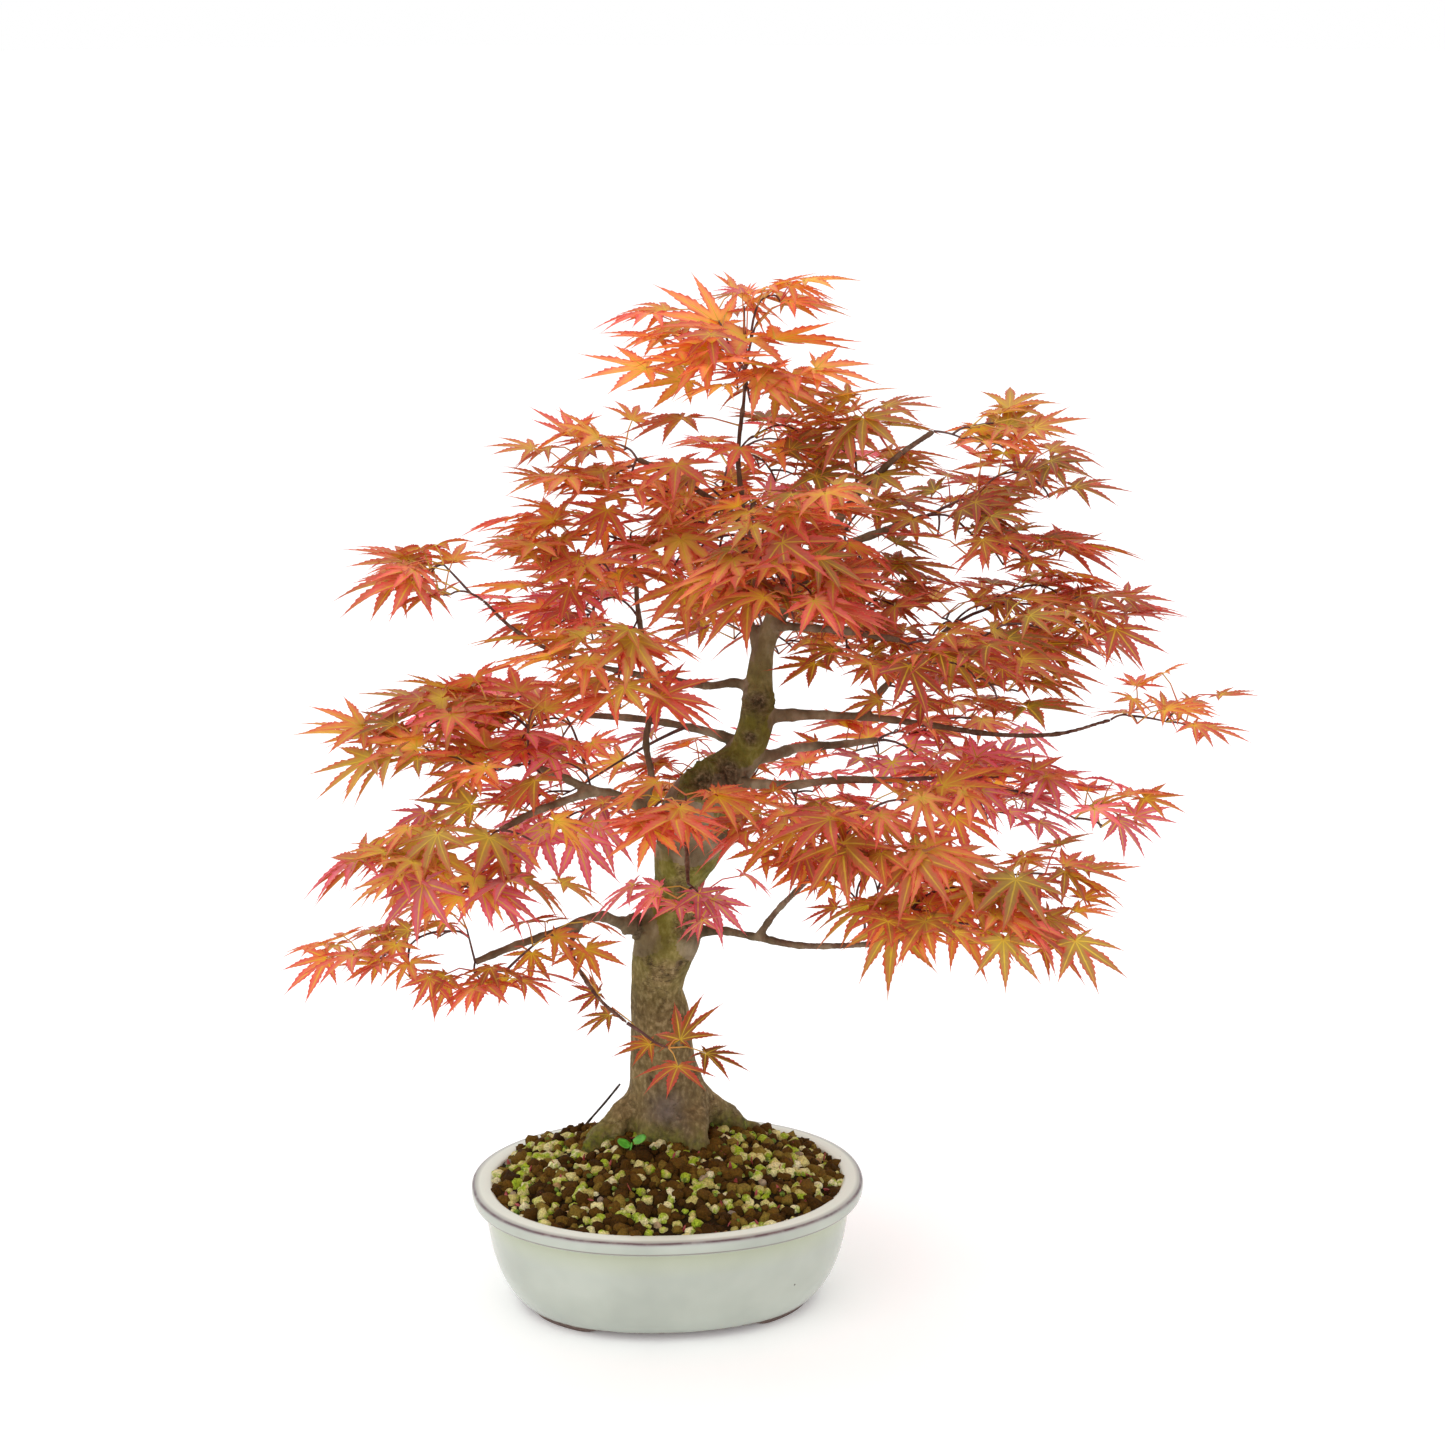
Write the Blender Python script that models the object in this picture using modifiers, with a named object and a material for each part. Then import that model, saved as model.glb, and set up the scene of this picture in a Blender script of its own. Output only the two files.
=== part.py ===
"""A Japanese maple bonsai in an oval glazed pot.

Metres, +Z up. The origin is on the standing plane under the pot's centre, and the pot's long axis is X.
The tree is laid out in its own axes, turned a few degrees from the pot's, with x to its right and -y to
its front. Its stations are in millimetres. Each spray of leaves is one plain closed solid of the spray's
outer size, and each branch is a tapered tube that stops a hair short of the wood it grew from.
"""

import math

import bmesh
import bpy
from mathutils import Vector, noise

MM = 0.001
GAP = 0.3 * MM  # between neighbours that touch

# Pot: half lengths along X. The half width is the half length less the same amount at every height.
RIM_HALF_LENGTH = 110 * MM
RIM_HALF_WIDTH = 88 * MM
LONGER_BY = RIM_HALF_LENGTH - RIM_HALF_WIDTH
POT_HEIGHT = 70 * MM
OVAL_POWER = 2.15  # 2 is a true ellipse, and more is squarer
OVAL_STEPS = 56
FLOOR_TOP = 8.8 * MM
FOOT_HEIGHT = 3.5 * MM
FOOT_HALF_LENGTH = 81 * MM
FOOT_WIDTH = 10 * MM
FOOT_CUT_LONG = 92 * MM  # the opening between two feet, on a long side
FOOT_CUT_SHORT = 46 * MM  # and on a short side
DRAIN_RADIUS = 8 * MM
DRAIN_OFFSET = 42 * MM

# Drain screens, inside on the floor
SCREEN_SIDE = 28 * MM
SCREEN_THICK = 1.2 * MM

# Soil
SOIL_EDGE_Z = 66 * MM
SOIL_CREST_Z = 85 * MM
SOIL_CREST = (2 * MM, 36 * MM)  # the mound's top, at the foot of the trunk

# Tree
TREE_TURN = math.radians(-6)
TRUNK_ROUNDNESS = 4  # curve bevel resolution: 12 sides
BRANCH_ROUNDNESS = 2  # 8 sides
LEAF_SEGMENTS = 14
LEAF_RINGS = 8
LUMP = 0.07  # how far a spray's surface wanders, as a share of its size
LUMP_SCALE = 1.6

# Stations (x, y, z, radius) in millimetres, from the foot up or from the joint outwards.
TRUNK = (
    (-2, 37, 64, 24),
    (-2, 37, 74, 26.5),
    (-1, 36, 84, 27),
    (-1, 35, 100, 23.5),
    (-1.5, 34, 114, 20.5),
    (-3, 33, 126, 18.8),
    (-3.5, 31, 139, 17.5),
    (-4, 29, 157, 16.5),
    (-6, 27, 172, 14.5),
    (-4.5, 25, 184, 15.5),
    (-2, 23, 196, 17.5),
    (1, 22, 206, 18),
    (3, 21, 216, 16),
    (5, 20, 226, 14),
    (7, 19, 240, 14),
    (9, 18, 250, 17),
    (13, 17, 261, 19),
    (15, 15, 276, 19),
    (21, 13, 290, 16.5),
    (30, 12, 299, 14),
    (38, 11, 308, 11),
    (46, 10, 319, 9.5),
    (50, 8, 333, 9.5),
    (50, 6, 346, 8.5),
    (52, 5, 362, 7),
    (54, 3, 379, 5.8),
    (64, 0, 402, 5.6),
    (77, -2, 422, 5.4),
    (87, -4, 436, 4.8),
)
ROOTS = (
    ((-6, 36, 112, 13), (-16, 33, 101, 10.5), (-27, 27, 91, 9), (-38, 20, 82, 8), (-46, 13, 74, 7), (-52, 8, 66, 6)),
    ((4, 36, 112, 13), (18, 40, 98, 9), (30, 44, 89, 8), (40, 48, 82, 6.5), (50, 52, 74, 5), (54, 54, 66, 4)),
    ((6, 30, 104, 12), (13, 18, 93, 9), (16, 12, 85, 7.5), (18, 6, 72, 6)),
    ((-2, 40, 106, 13), (-14, 54, 92, 9), (-24, 64, 78, 6), (-28, 67, 68, 5)),
    ((2, 40, 106, 13), (14, 56, 91, 9), (20, 64, 79, 6), (24, 67, 68, 5)),
)

# Each branch: its name, the wood that it grew from, and its stations.
BRANCHES = (
    ("branch_left_low", "trunk", (
        (0, 22, 206, 8), (-14, 19, 211, 7), (-27, 0, 221, 5), (-37, -20, 231, 4.4), (-56, -40, 230, 3.6),
        (-81, -55, 226, 3), (-100, -65, 221, 2.4))),
    ("branch_left_main", "trunk", (
        (8, 16, 264, 8), (-6, 13, 272, 7), (-14, 5, 285, 5), (-26, -10, 296, 4.6), (-39, -20, 302, 4.4),
        (-53, -30, 312, 3.4), (-71, -38, 322, 2.6))),
    ("branch_left_front", "branch_left_main", (
        (-39, -20, 302, 3.4), (-55, -48, 304, 3), (-68, -66, 304, 2.6), (-84, -84, 300, 2))),
    ("branch_left_stem", "branch_left_main", (
        (-14, 5, 285, 3.2), (-10, 12, 299, 3), (-10, 18, 319, 2.8), (-11, 18, 347, 2.4), (-12, 8, 390, 2),
        (-16, -4, 430, 1.8))),
    ("branch_left_back", "trunk", (
        (46, 10, 318, 5), (28, 24, 321, 4), (11, 40, 321, 3.4), (-15, 56, 321, 3), (-46, 68, 320, 2.4))),
    ("branch_left_mid", "trunk", (
        (51, 6, 350, 4), (38, 6, 355, 3.6), (24, -4, 356, 3.2), (6, -30, 366, 2.6), (-6, -54, 380, 2))),
    ("branch_left_high", "branch_left_stem", (
        (-12, 10, 372, 2), (-30, 26, 378, 1.8), (-40, 44, 384, 1.6))),
    ("branch_left_tip", "branch_left_stem", (
        (-11, 16, 356, 1.8), (-34, 9, 363, 1.8), (-58, 4, 372, 1.8), (-80, 2, 385, 1.6), (-97, 0, 402, 1.4))),
    ("branch_apex", "trunk", (
        (52, 5, 362, 4.4), (47, 3, 384, 3.8), (43, 1, 404, 3.3), (41, -2, 430, 2.8), (41, -4, 455, 2.4),
        (39, -6, 482, 2), (42, -7, 512, 1.6), (43, -7, 528, 1.4))),
    ("branch_upper_left", "branch_apex", (
        (41, -3, 446, 1.8), (22, -6, 460, 1.8), (4, -8, 472, 1.6), (-14, -8, 480, 1.5))),
    ("branch_upper_front", "branch_apex", (
        (41, -2, 430, 1.9), (46, -22, 440, 1.9), (54, -50, 448, 1.7))),
    ("branch_upper_back", "branch_apex", (
        (42, 0, 416, 2), (45, 24, 430, 2), (48, 50, 448, 1.7))),
    ("branch_right_low", "trunk", (
        (2, 22, 208, 7), (20, 19, 209, 4.8), (31, 8, 213, 3.9), (43, -10, 217, 3.5), (50, -20, 219, 3.2),
        (72, -50, 225, 2.5), (98, -75, 234, 2.1), (122, -92, 242, 1.8))),
    ("branch_right_rise", "branch_right_low", (
        (50, -20, 219, 2.2), (59, -40, 240, 2.2), (72, -62, 262, 2), (86, -84, 284, 1.8))),
    ("branch_right_front", "trunk", (
        (28, 12, 296, 6), (44, 0, 300, 4.6), (66, -16, 304, 4), (92, -20, 308, 3.2), (122, -20, 308, 2.6))),
    ("branch_right_back", "trunk", (
        (42, 10, 314, 6), (56, 16, 311, 5), (66, 30, 310, 4.6), (76, 44, 308, 4), (96, 60, 305, 3.4),
        (118, 76, 303, 2.8))),
    ("branch_right_long", "trunk", (
        (50, 8, 335, 6), (64, 9, 336, 5), (79, 10, 336, 4.2), (106, 10, 335, 3.2), (139, 10, 331, 2.4),
        (177, 5, 326.5, 1.9), (211, 0, 328, 1.6), (240, 0, 336, 1.4))),
    ("branch_right_mid", "branch_right_long", (
        (106, 10, 335, 2.4), (120, 20, 350, 2.3), (140, 26, 368, 2), (156, 28, 382, 1.6))),
    ("branch_right_mid_front", "trunk", (
        (58, 2, 388, 3.6), (74, -20, 392, 3), (96, -44, 396, 2.6), (122, -64, 396, 2))),
    ("branch_right_upper", "trunk", (
        (78, -2, 424, 3.6), (96, 5, 431, 3.4), (116, 8, 438, 3), (138, 8, 446, 2.4))),
    ("branch_top_right", "trunk", (
        (87, -4, 434, 3), (97, -10, 456, 2.6), (120, -28, 484, 2), (140, -26, 498, 1.6))),
    ("branch_back_low", "trunk", (
        (7, 19, 242, 5), (9, 42, 250, 3.8), (14, 68, 260, 3), (18, 92, 268, 2.4))),
    ("branch_back_mid", "trunk", (
        (50, 7, 341, 4.6), (52, 30, 350, 3.4), (54, 60, 360, 2.8), (55, 86, 368, 2.2))),
    ("branch_front", "trunk", (
        (13, 16, 264, 5), (11, -14, 280, 3.2), (10, -50, 296, 2.6), (9, -88, 308, 2.2))),
    ("branch_front_small", "branch_front", (
        (11, -40, 291.5, 2), (12, -64, 284, 1.7), (13, -88, 272, 1.4))),
    ("branch_low_shoot", "branch_left_low", (
        (-46, -30, 230.5, 1.8), (-50, -46, 220, 1.6), (-36, -60, 200, 1.4), (-20, -63, 186, 1.2))),
)

# Each spray of leaves: its name, its centre and its half size, in millimetres.
SPRAYS = (
    ("leaves_apex", (38, -6, 547), (62, 58, 33)),
    ("leaves_upper_left", (-32, -8, 483), (44, 46, 18)),
    ("leaves_top_right", (165, -24, 503), (38, 28, 12)),
    ("leaves_upper_right", (172, 5, 453), (64, 58, 29)),
    ("leaves_upper_front", (62, -80, 455), (48, 42, 31)),
    ("leaves_upper_back", (50, 76, 462), (58, 44, 31)),
    ("leaves_left_upper", (-42, -22, 440), (58, 44, 14)),
    ("leaves_left_tip", (-122, 0, 421), (38, 30, 16)),
    ("leaves_centre_left", (-26, -82, 392), (50, 38, 23)),
    ("leaves_left_mid_back", (-50, 64, 392), (58, 42, 23)),
    ("leaves_right_mid", (182, 30, 390), (72, 52, 24)),
    ("leaves_right_mid_front", (162, -76, 396), (70, 36, 25)),
    ("leaves_far_right", (264, -2, 346), (46, 28, 15)),
    ("leaves_left_big", (-104, -34, 342), (76, 50, 24)),
    ("leaves_left_lower", (-100, -104, 284), (78, 46, 23)),
    ("leaves_left_back", (-85, 78, 318), (68, 44, 25)),
    ("leaves_left_low", (-112, -72, 228), (84, 50, 20)),
    ("leaves_centre_front", (6, -112, 314), (36, 32, 19)),
    ("leaves_front_small", (13, -106, 268), (30, 24, 11)),
    ("leaves_right_centre", (112, -114, 305), (60, 38, 23)),
    ("leaves_right_low", (170, -116, 250), (82, 50, 25)),
    ("leaves_right_inner", (164, -20, 305), (64, 38, 15)),
    ("leaves_right_back", (150, 90, 300), (78, 46, 25)),
    ("leaves_back_mid", (55, 112, 372), (62, 42, 23)),
    ("leaves_back_low", (20, 114, 272), (62, 42, 21)),
    ("leaves_low_shoot", (-2, -64, 178), (52, 15, 15)),
)

# Small plants and a dead twig standing in the soil
TWIG = ((-53, 60, 70, 0.9), (-44, 56, 88, 0.8), (-36, 52, 98, 0.9), (-28, 48, 106, 0.8))
SEEDLING_STEM = ((-22, 0, 72, 0.6), (-21, 0, 84, 0.6), (-20, 1, 90, 0.6))
SEEDLING_LEAVES = (((-23.6, 0.4, 90.4), 35), ((-16.2, 1, 91.2), -30))
SEEDLING_LEAF_HALF = (4.4, 3.8, 0.5)

BARK = (0.24, 0.19, 0.11)
LEAF = (0.64, 0.13, 0.05)
GLAZE = (0.60, 0.63, 0.54)
AKADAMA = (0.09, 0.055, 0.03)
SCREEN_GREEN = (0.03, 0.06, 0.03)
TWIG_BROWN = (0.04, 0.025, 0.02)
SEEDLING_GREEN = (0.12, 0.40, 0.05)


def clear_scene():
    for obj in list(bpy.data.objects):
        bpy.data.objects.remove(obj, do_unlink=True)


def new_collection(name):
    made = bpy.data.collections.new(name)
    bpy.context.scene.collection.children.link(made)
    return made


def material(name, colour, roughness):
    made = bpy.data.materials.get(name)
    if made:
        return made
    made = bpy.data.materials.new(name)
    made.use_nodes = True
    shader = made.node_tree.nodes["Principled BSDF"]
    shader.inputs["Base Color"].default_value = (*colour, 1)
    shader.inputs["Roughness"].default_value = roughness
    shader.inputs["Metallic"].default_value = 0
    return made


def finish_part(obj, mat, parent=None):
    """Puts a finished object among the parts, smooth but for its real edges."""
    parts.objects.link(obj)
    obj.data.materials.append(mat)
    obj.data.shade_smooth()
    obj.data.set_sharp_from_angle(angle=math.radians(40))
    obj.parent = parent
    return obj


def helper(obj, parent=None):
    """Puts a cutter among the helpers, out of the render."""
    helpers.objects.link(obj)
    obj.hide_render = True
    obj.display_type = "WIRE"
    obj.parent = parent
    return obj


def boolean(obj, other, operation):
    modifier = obj.modifiers.new(f"{operation.lower()}_{other.name}", "BOOLEAN")
    modifier.operation = operation
    modifier.solver = "EXACT"
    modifier.object = other
    return modifier


def mesh_of(obj):
    """The object's evaluated shape as a mesh of its own, with its loose caps welded."""
    bpy.context.view_layer.update()
    graph = bpy.context.evaluated_depsgraph_get()
    mesh = bpy.data.meshes.new_from_object(obj.evaluated_get(graph))
    bm = bmesh.new()
    bm.from_mesh(mesh)
    bmesh.ops.remove_doubles(bm, verts=bm.verts, dist=1e-5)
    bmesh.ops.recalc_face_normals(bm, faces=bm.faces)
    bm.to_mesh(mesh)
    bm.free()
    return mesh


def turned(name, profile):
    """A profile of (radius, z) points turned about Z, and left as a plain mesh object."""
    line = bpy.data.meshes.new(name + "_profile")
    points = [(radius, 0, z) for radius, z in profile]
    edges = [(i, i + 1) for i in range(len(points) - 1)]
    line.from_pydata(points, edges, [])
    lathe = bpy.data.objects.new(name + "_profile", line)
    bpy.context.scene.collection.objects.link(lathe)
    screw = lathe.modifiers.new("turn", "SCREW")
    screw.axis = "Z"
    screw.angle = math.tau
    screw.steps = OVAL_STEPS
    screw.render_steps = OVAL_STEPS
    screw.use_merge_vertices = True
    screw.merge_threshold = 0.0001
    mesh = mesh_of(lathe)
    bpy.data.objects.remove(lathe, do_unlink=True)
    return bpy.data.objects.new(name, mesh)


def oval_point(radius, angle, grow=0.0):
    """A turned point moved onto the pot's oval, whose width is less than its length by LONGER_BY."""
    share = min(1, radius / (FOOT_HALF_LENGTH * 0.8))
    half_length = radius + grow
    half_width = radius - LONGER_BY * share + grow
    bend = 2 / OVAL_POWER
    x = math.copysign(abs(math.cos(angle)) ** bend, math.cos(angle)) * half_length
    y = math.copysign(abs(math.sin(angle)) ** bend, math.sin(angle)) * half_width
    return x, y


def squeeze_to_oval(obj):
    for vertex in obj.data.vertices:
        radius = math.hypot(vertex.co.x, vertex.co.y)
        if radius > 1e-6:
            angle = math.atan2(vertex.co.y, vertex.co.x)
            vertex.co.x, vertex.co.y = oval_point(radius, angle)


def box(name, size, location):
    bm = bmesh.new()
    bmesh.ops.create_cube(bm, size=1)
    bmesh.ops.scale(bm, vec=size, verts=bm.verts)
    mesh = bpy.data.meshes.new(name)
    bm.to_mesh(mesh)
    bm.free()
    obj = bpy.data.objects.new(name, mesh)
    obj.location = location
    return obj


def cylinder(name, radius, depth, location):
    bm = bmesh.new()
    bmesh.ops.create_cone(
        bm, cap_ends=True, segments=24, radius1=radius, radius2=radius, depth=depth
    )
    mesh = bpy.data.meshes.new(name)
    bm.to_mesh(mesh)
    bm.free()
    obj = bpy.data.objects.new(name, mesh)
    obj.location = location
    return obj


def make_pot():
    """A turned wall, floor and rim band, squeezed to an oval, then cut for the feet and the drains."""
    inside = [(0, FLOOR_TOP), (70 * MM, FLOOR_TOP), (79 * MM, 11 * MM), (85 * MM, 18 * MM)]
    inside += [(91 * MM, 32 * MM), (95 * MM, 52 * MM), (97 * MM, 66 * MM), (98.5 * MM, 69.4 * MM)]
    rim = [(100 * MM, POT_HEIGHT), (108.4 * MM, 69.2 * MM), (RIM_HALF_LENGTH, 67.6 * MM)]
    rim += [(RIM_HALF_LENGTH, 63.4 * MM), (108.6 * MM, 61.6 * MM), (102.6 * MM, 60.6 * MM)]
    outside = [(102 * MM, 58 * MM), (101 * MM, 44 * MM), (98.4 * MM, 30 * MM), (93.6 * MM, 17 * MM)]
    outside += [(87.6 * MM, 8 * MM), (82.4 * MM, FOOT_HEIGHT), (FOOT_HALF_LENGTH, 0)]
    foot = FOOT_HALF_LENGTH - FOOT_WIDTH
    under = [(foot, 0), (foot - 0.4 * MM, FOOT_HEIGHT), (0, FOOT_HEIGHT)]
    pot = turned("pot", inside + rim + outside + under)
    squeeze_to_oval(pot)
    finish_part(pot, material("celadon_glaze", GLAZE, 0.18))
    long_cut = box("foot_cut_long", (FOOT_CUT_LONG, 0.3, 2 * FOOT_HEIGHT - 0.2 * MM), (0, 0, 0))
    short_cut = box("foot_cut_short", (0.3, FOOT_CUT_SHORT, 2 * FOOT_HEIGHT - 0.2 * MM), (0, 0, 0))
    boolean(pot, helper(long_cut), "DIFFERENCE")
    boolean(pot, helper(short_cut), "DIFFERENCE")
    for side in (-1, 1):
        drain = cylinder(f"drain_{side}", DRAIN_RADIUS, 0.03, (side * DRAIN_OFFSET, 0, FOOT_HEIGHT))
        boolean(pot, helper(drain), "DIFFERENCE")
    return pot


def make_screens():
    """A square of plastic mesh over each drain hole, as a plain plate."""
    height = FLOOR_TOP + GAP + SCREEN_THICK / 2
    for side, name in ((-1, "drain_screen_left"), (1, "drain_screen_right")):
        plate = box(name, (SCREEN_SIDE, SCREEN_SIDE, SCREEN_THICK), (side * DRAIN_OFFSET, 0, height))
        finish_part(plate, material("screen_plastic", SCREEN_GREEN, 0.6))


def make_soil(tree_turn):
    """Fills the pot to its rim and mounds up to the foot of the trunk."""
    edge = 96.4 * MM
    rises = (0, 0.03, 0.12, 0.34, 0.62, 0.86, 1)
    top = []
    for i, rise in enumerate(reversed(rises)):
        radius = edge * i / (len(rises) - 1)
        top.append((radius, SOIL_EDGE_Z + (SOIL_CREST_Z - SOIL_EDGE_Z) * rise))
    side = [(94.4 * MM, 52 * MM), (90.4 * MM, 32 * MM), (84.4 * MM, 18 * MM), (78.4 * MM, 11.6 * MM)]
    side += [(69.6 * MM, FLOOR_TOP + GAP), (0, FLOOR_TOP + GAP)]
    soil = turned("soil", top + side)
    squeeze_to_oval(soil)
    crest = Vector((SOIL_CREST[0], SOIL_CREST[1], 0))
    for vertex in soil.data.vertices:
        if vertex.co.z > SOIL_EDGE_Z - 0.1 * MM:
            reach = min(1, math.hypot(vertex.co.x / edge, vertex.co.y / (edge - LONGER_BY)))
            vertex.co += crest * (1 - reach)
    finish_part(soil, material("akadama_soil", AKADAMA, 0.95))
    for side_sign in (-1, 1):
        height = FLOOR_TOP + SCREEN_THICK / 2
        size = (SCREEN_SIDE + 2 * GAP, SCREEN_SIDE + 2 * GAP, SCREEN_THICK + 4 * GAP)
        room = box(f"screen_room_{side_sign}", size, (side_sign * DRAIN_OFFSET, 0, height))
        boolean(soil, helper(room), "DIFFERENCE")
    for i, path in enumerate((TRUNK[:6], *ROOTS, TWIG, SEEDLING_STEM)):
        room = tube(f"soil_room_{i}", path, TRUNK_ROUNDNESS, grow=GAP / MM)
        boolean(soil, helper(room, tree_turn), "DIFFERENCE")
    return soil


def tube(name, stations, roundness, grow=0.0):
    """A tapered tube through (x, y, z, radius) stations in millimetres, as a mesh object."""
    data = bpy.data.curves.new(name + "_curve", "CURVE")
    data.dimensions = "3D"
    data.bevel_depth = MM
    data.bevel_resolution = roundness
    data.use_fill_caps = True
    spline = data.splines.new("POLY")
    spline.points.add(len(stations) - 1)
    for point, (x, y, z, radius) in zip(spline.points, stations):
        point.co = (x * MM, y * MM, z * MM, 1)
        point.radius = radius + grow
    curve = bpy.data.objects.new(name + "_curve", data)
    bpy.context.scene.collection.objects.link(curve)
    mesh = mesh_of(curve)
    bpy.data.objects.remove(curve, do_unlink=True)
    return bpy.data.objects.new(name, mesh)


def make_trunk(tree_turn):
    """The trunk with its surface roots, one grown piece."""
    trunk = tube("trunk", TRUNK, TRUNK_ROUNDNESS)
    finish_part(trunk, material("maple_bark", BARK, 0.85), tree_turn)
    for i, stations in enumerate(ROOTS):
        root = tube(f"root_{i}", stations, BRANCH_ROUNDNESS)
        boolean(trunk, helper(root, tree_turn), "UNION")
    return trunk


def wood_room(tree_turn):
    """The trunk and every branch, fatter by the gap: what the leaves and the side branches clear."""
    rooms = {"trunk": helper(tube("trunk_room", TRUNK, TRUNK_ROUNDNESS, grow=GAP / MM), tree_turn)}
    for name, _, stations in BRANCHES:
        last = Vector(stations[-1][:3])
        onward = (last - Vector(stations[-2][:3])).normalized() * (GAP / MM)
        longer = (*stations, (*(last + onward), stations[-1][3]))
        rooms[name] = helper(tube(name + "_room", longer, BRANCH_ROUNDNESS, grow=GAP / MM), tree_turn)
    return rooms


def make_branches(tree_turn, rooms):
    for name, grew_from, stations in BRANCHES:
        branch = tube(name, stations, BRANCH_ROUNDNESS)
        finish_part(branch, material("maple_bark", BARK, 0.85), tree_turn)
        boolean(branch, rooms[grew_from], "DIFFERENCE")


def near(centre, half, stations):
    """Whether any station's stretch comes into the box round a spray."""
    for first, second in zip(stations, stations[1:]):
        for share in (0, 0.25, 0.5, 0.75, 1):
            point = Vector(first[:3]).lerp(Vector(second[:3]), share)
            margin = max(first[3], second[3]) + 1
            if all(abs(point[i] - centre[i]) < half[i] * (1 + LUMP) + margin for i in range(3)):
                return True
    return False


def make_spray(name, centre, half, tree_turn, rooms):
    """One spray of leaves as a flattened, slightly lumpy closed solid, open where its branch comes in."""
    bm = bmesh.new()
    bmesh.ops.create_uvsphere(bm, u_segments=LEAF_SEGMENTS, v_segments=LEAF_RINGS, radius=1)
    offset = Vector(centre) * 0.03
    for vertex in bm.verts:
        lump = 1 + LUMP * noise.noise(vertex.co * LUMP_SCALE + offset)
        vertex.co = Vector(vertex.co[i] * half[i] * lump * MM for i in range(3))
    mesh = bpy.data.meshes.new(name)
    bm.to_mesh(mesh)
    bm.free()
    spray = bpy.data.objects.new(name, mesh)
    spray.location = Vector(centre) * MM
    finish_part(spray, material("maple_leaf", LEAF, 0.5), tree_turn)
    if near(centre, half, TRUNK):
        boolean(spray, rooms["trunk"], "DIFFERENCE")
    for branch, _, stations in BRANCHES:
        if near(centre, half, stations):
            boolean(spray, rooms[branch], "DIFFERENCE")


def make_small_things(tree_turn):
    """A dead twig and a two-leaved seedling, both standing in the soil."""
    twig = tube("dead_twig", TWIG, BRANCH_ROUNDNESS)
    finish_part(twig, material("dead_twig_bark", TWIG_BROWN, 0.8), tree_turn)
    seedling = tube("seedling", SEEDLING_STEM, BRANCH_ROUNDNESS)
    finish_part(seedling, material("seedling_leaf", SEEDLING_GREEN, 0.5), tree_turn)
    for i, (centre, tilt) in enumerate(SEEDLING_LEAVES):
        bm = bmesh.new()
        bmesh.ops.create_uvsphere(bm, u_segments=12, v_segments=6, radius=MM)
        bmesh.ops.scale(bm, vec=SEEDLING_LEAF_HALF, verts=bm.verts)
        mesh = bpy.data.meshes.new(f"seedling_leaf_{i}")
        bm.to_mesh(mesh)
        bm.free()
        leaf = bpy.data.objects.new(f"seedling_leaf_{i}", mesh)
        leaf.location = Vector(centre) * MM
        leaf.rotation_euler = (math.radians(tilt / 2), math.radians(tilt), 0)
        boolean(seedling, helper(leaf, tree_turn), "UNION")


clear_scene()
parts = new_collection("maple_bonsai")
helpers = new_collection("cutters")
turn = bpy.data.objects.new("tree_turn", None)
turn.rotation_euler = (0, 0, TREE_TURN)
bpy.context.scene.collection.objects.link(turn)

make_pot()
make_screens()
make_soil(turn)
make_trunk(turn)
wood = wood_room(turn)
make_branches(turn, wood)
for spray_name, spray_centre, spray_half in SPRAYS:
    make_spray(spray_name, spray_centre, spray_half, turn, wood)
make_small_things(turn)
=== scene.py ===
"""A Japanese maple bonsai in an oval celadon pot: the visible model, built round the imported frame.

Metres, +Z up. The tree is laid out in its own axes, turned a few degrees from the pot's: x to its right,
-y to its front, in millimetres from the pot's centre on the standing plane. All that is random has a fixed
seed.
"""

import math

import bmesh
import bpy
import numpy as np
from mathutils import Euler, Matrix, Vector, kdtree, noise


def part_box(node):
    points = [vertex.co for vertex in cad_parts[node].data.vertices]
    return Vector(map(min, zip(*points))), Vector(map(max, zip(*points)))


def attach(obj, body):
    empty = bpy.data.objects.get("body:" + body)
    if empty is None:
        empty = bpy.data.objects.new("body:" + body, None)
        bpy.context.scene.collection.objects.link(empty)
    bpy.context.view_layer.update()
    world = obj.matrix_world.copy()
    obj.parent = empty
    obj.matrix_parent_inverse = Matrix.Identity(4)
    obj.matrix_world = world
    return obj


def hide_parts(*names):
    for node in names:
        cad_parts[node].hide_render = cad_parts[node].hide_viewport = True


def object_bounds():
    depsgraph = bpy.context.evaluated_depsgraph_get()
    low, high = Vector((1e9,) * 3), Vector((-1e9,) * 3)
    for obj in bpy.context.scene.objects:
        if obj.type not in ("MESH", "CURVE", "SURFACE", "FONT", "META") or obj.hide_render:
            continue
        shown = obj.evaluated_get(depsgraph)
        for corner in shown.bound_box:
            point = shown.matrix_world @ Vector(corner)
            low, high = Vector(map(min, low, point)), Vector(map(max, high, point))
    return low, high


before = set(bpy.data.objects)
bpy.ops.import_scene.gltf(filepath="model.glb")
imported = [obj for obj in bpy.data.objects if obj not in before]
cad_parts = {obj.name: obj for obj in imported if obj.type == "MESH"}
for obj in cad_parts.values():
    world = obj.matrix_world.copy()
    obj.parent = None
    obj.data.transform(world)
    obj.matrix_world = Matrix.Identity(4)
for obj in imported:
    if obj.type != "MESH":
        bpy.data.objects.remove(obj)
CAD_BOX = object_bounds()

MM = 0.001
TREE_TURN = math.radians(-6)
UP = Vector((0, 0, 1))
GOLDEN_ANGLE = math.pi * (3 - math.sqrt(5))
GOLDEN_SHARE = 0.618
WOOD_SEED, DRY_TWIG_SEED, LEAF_SEED, SPRAY_SEED, FILL_SEED = 31, 8, 77, 100, 300

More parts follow.
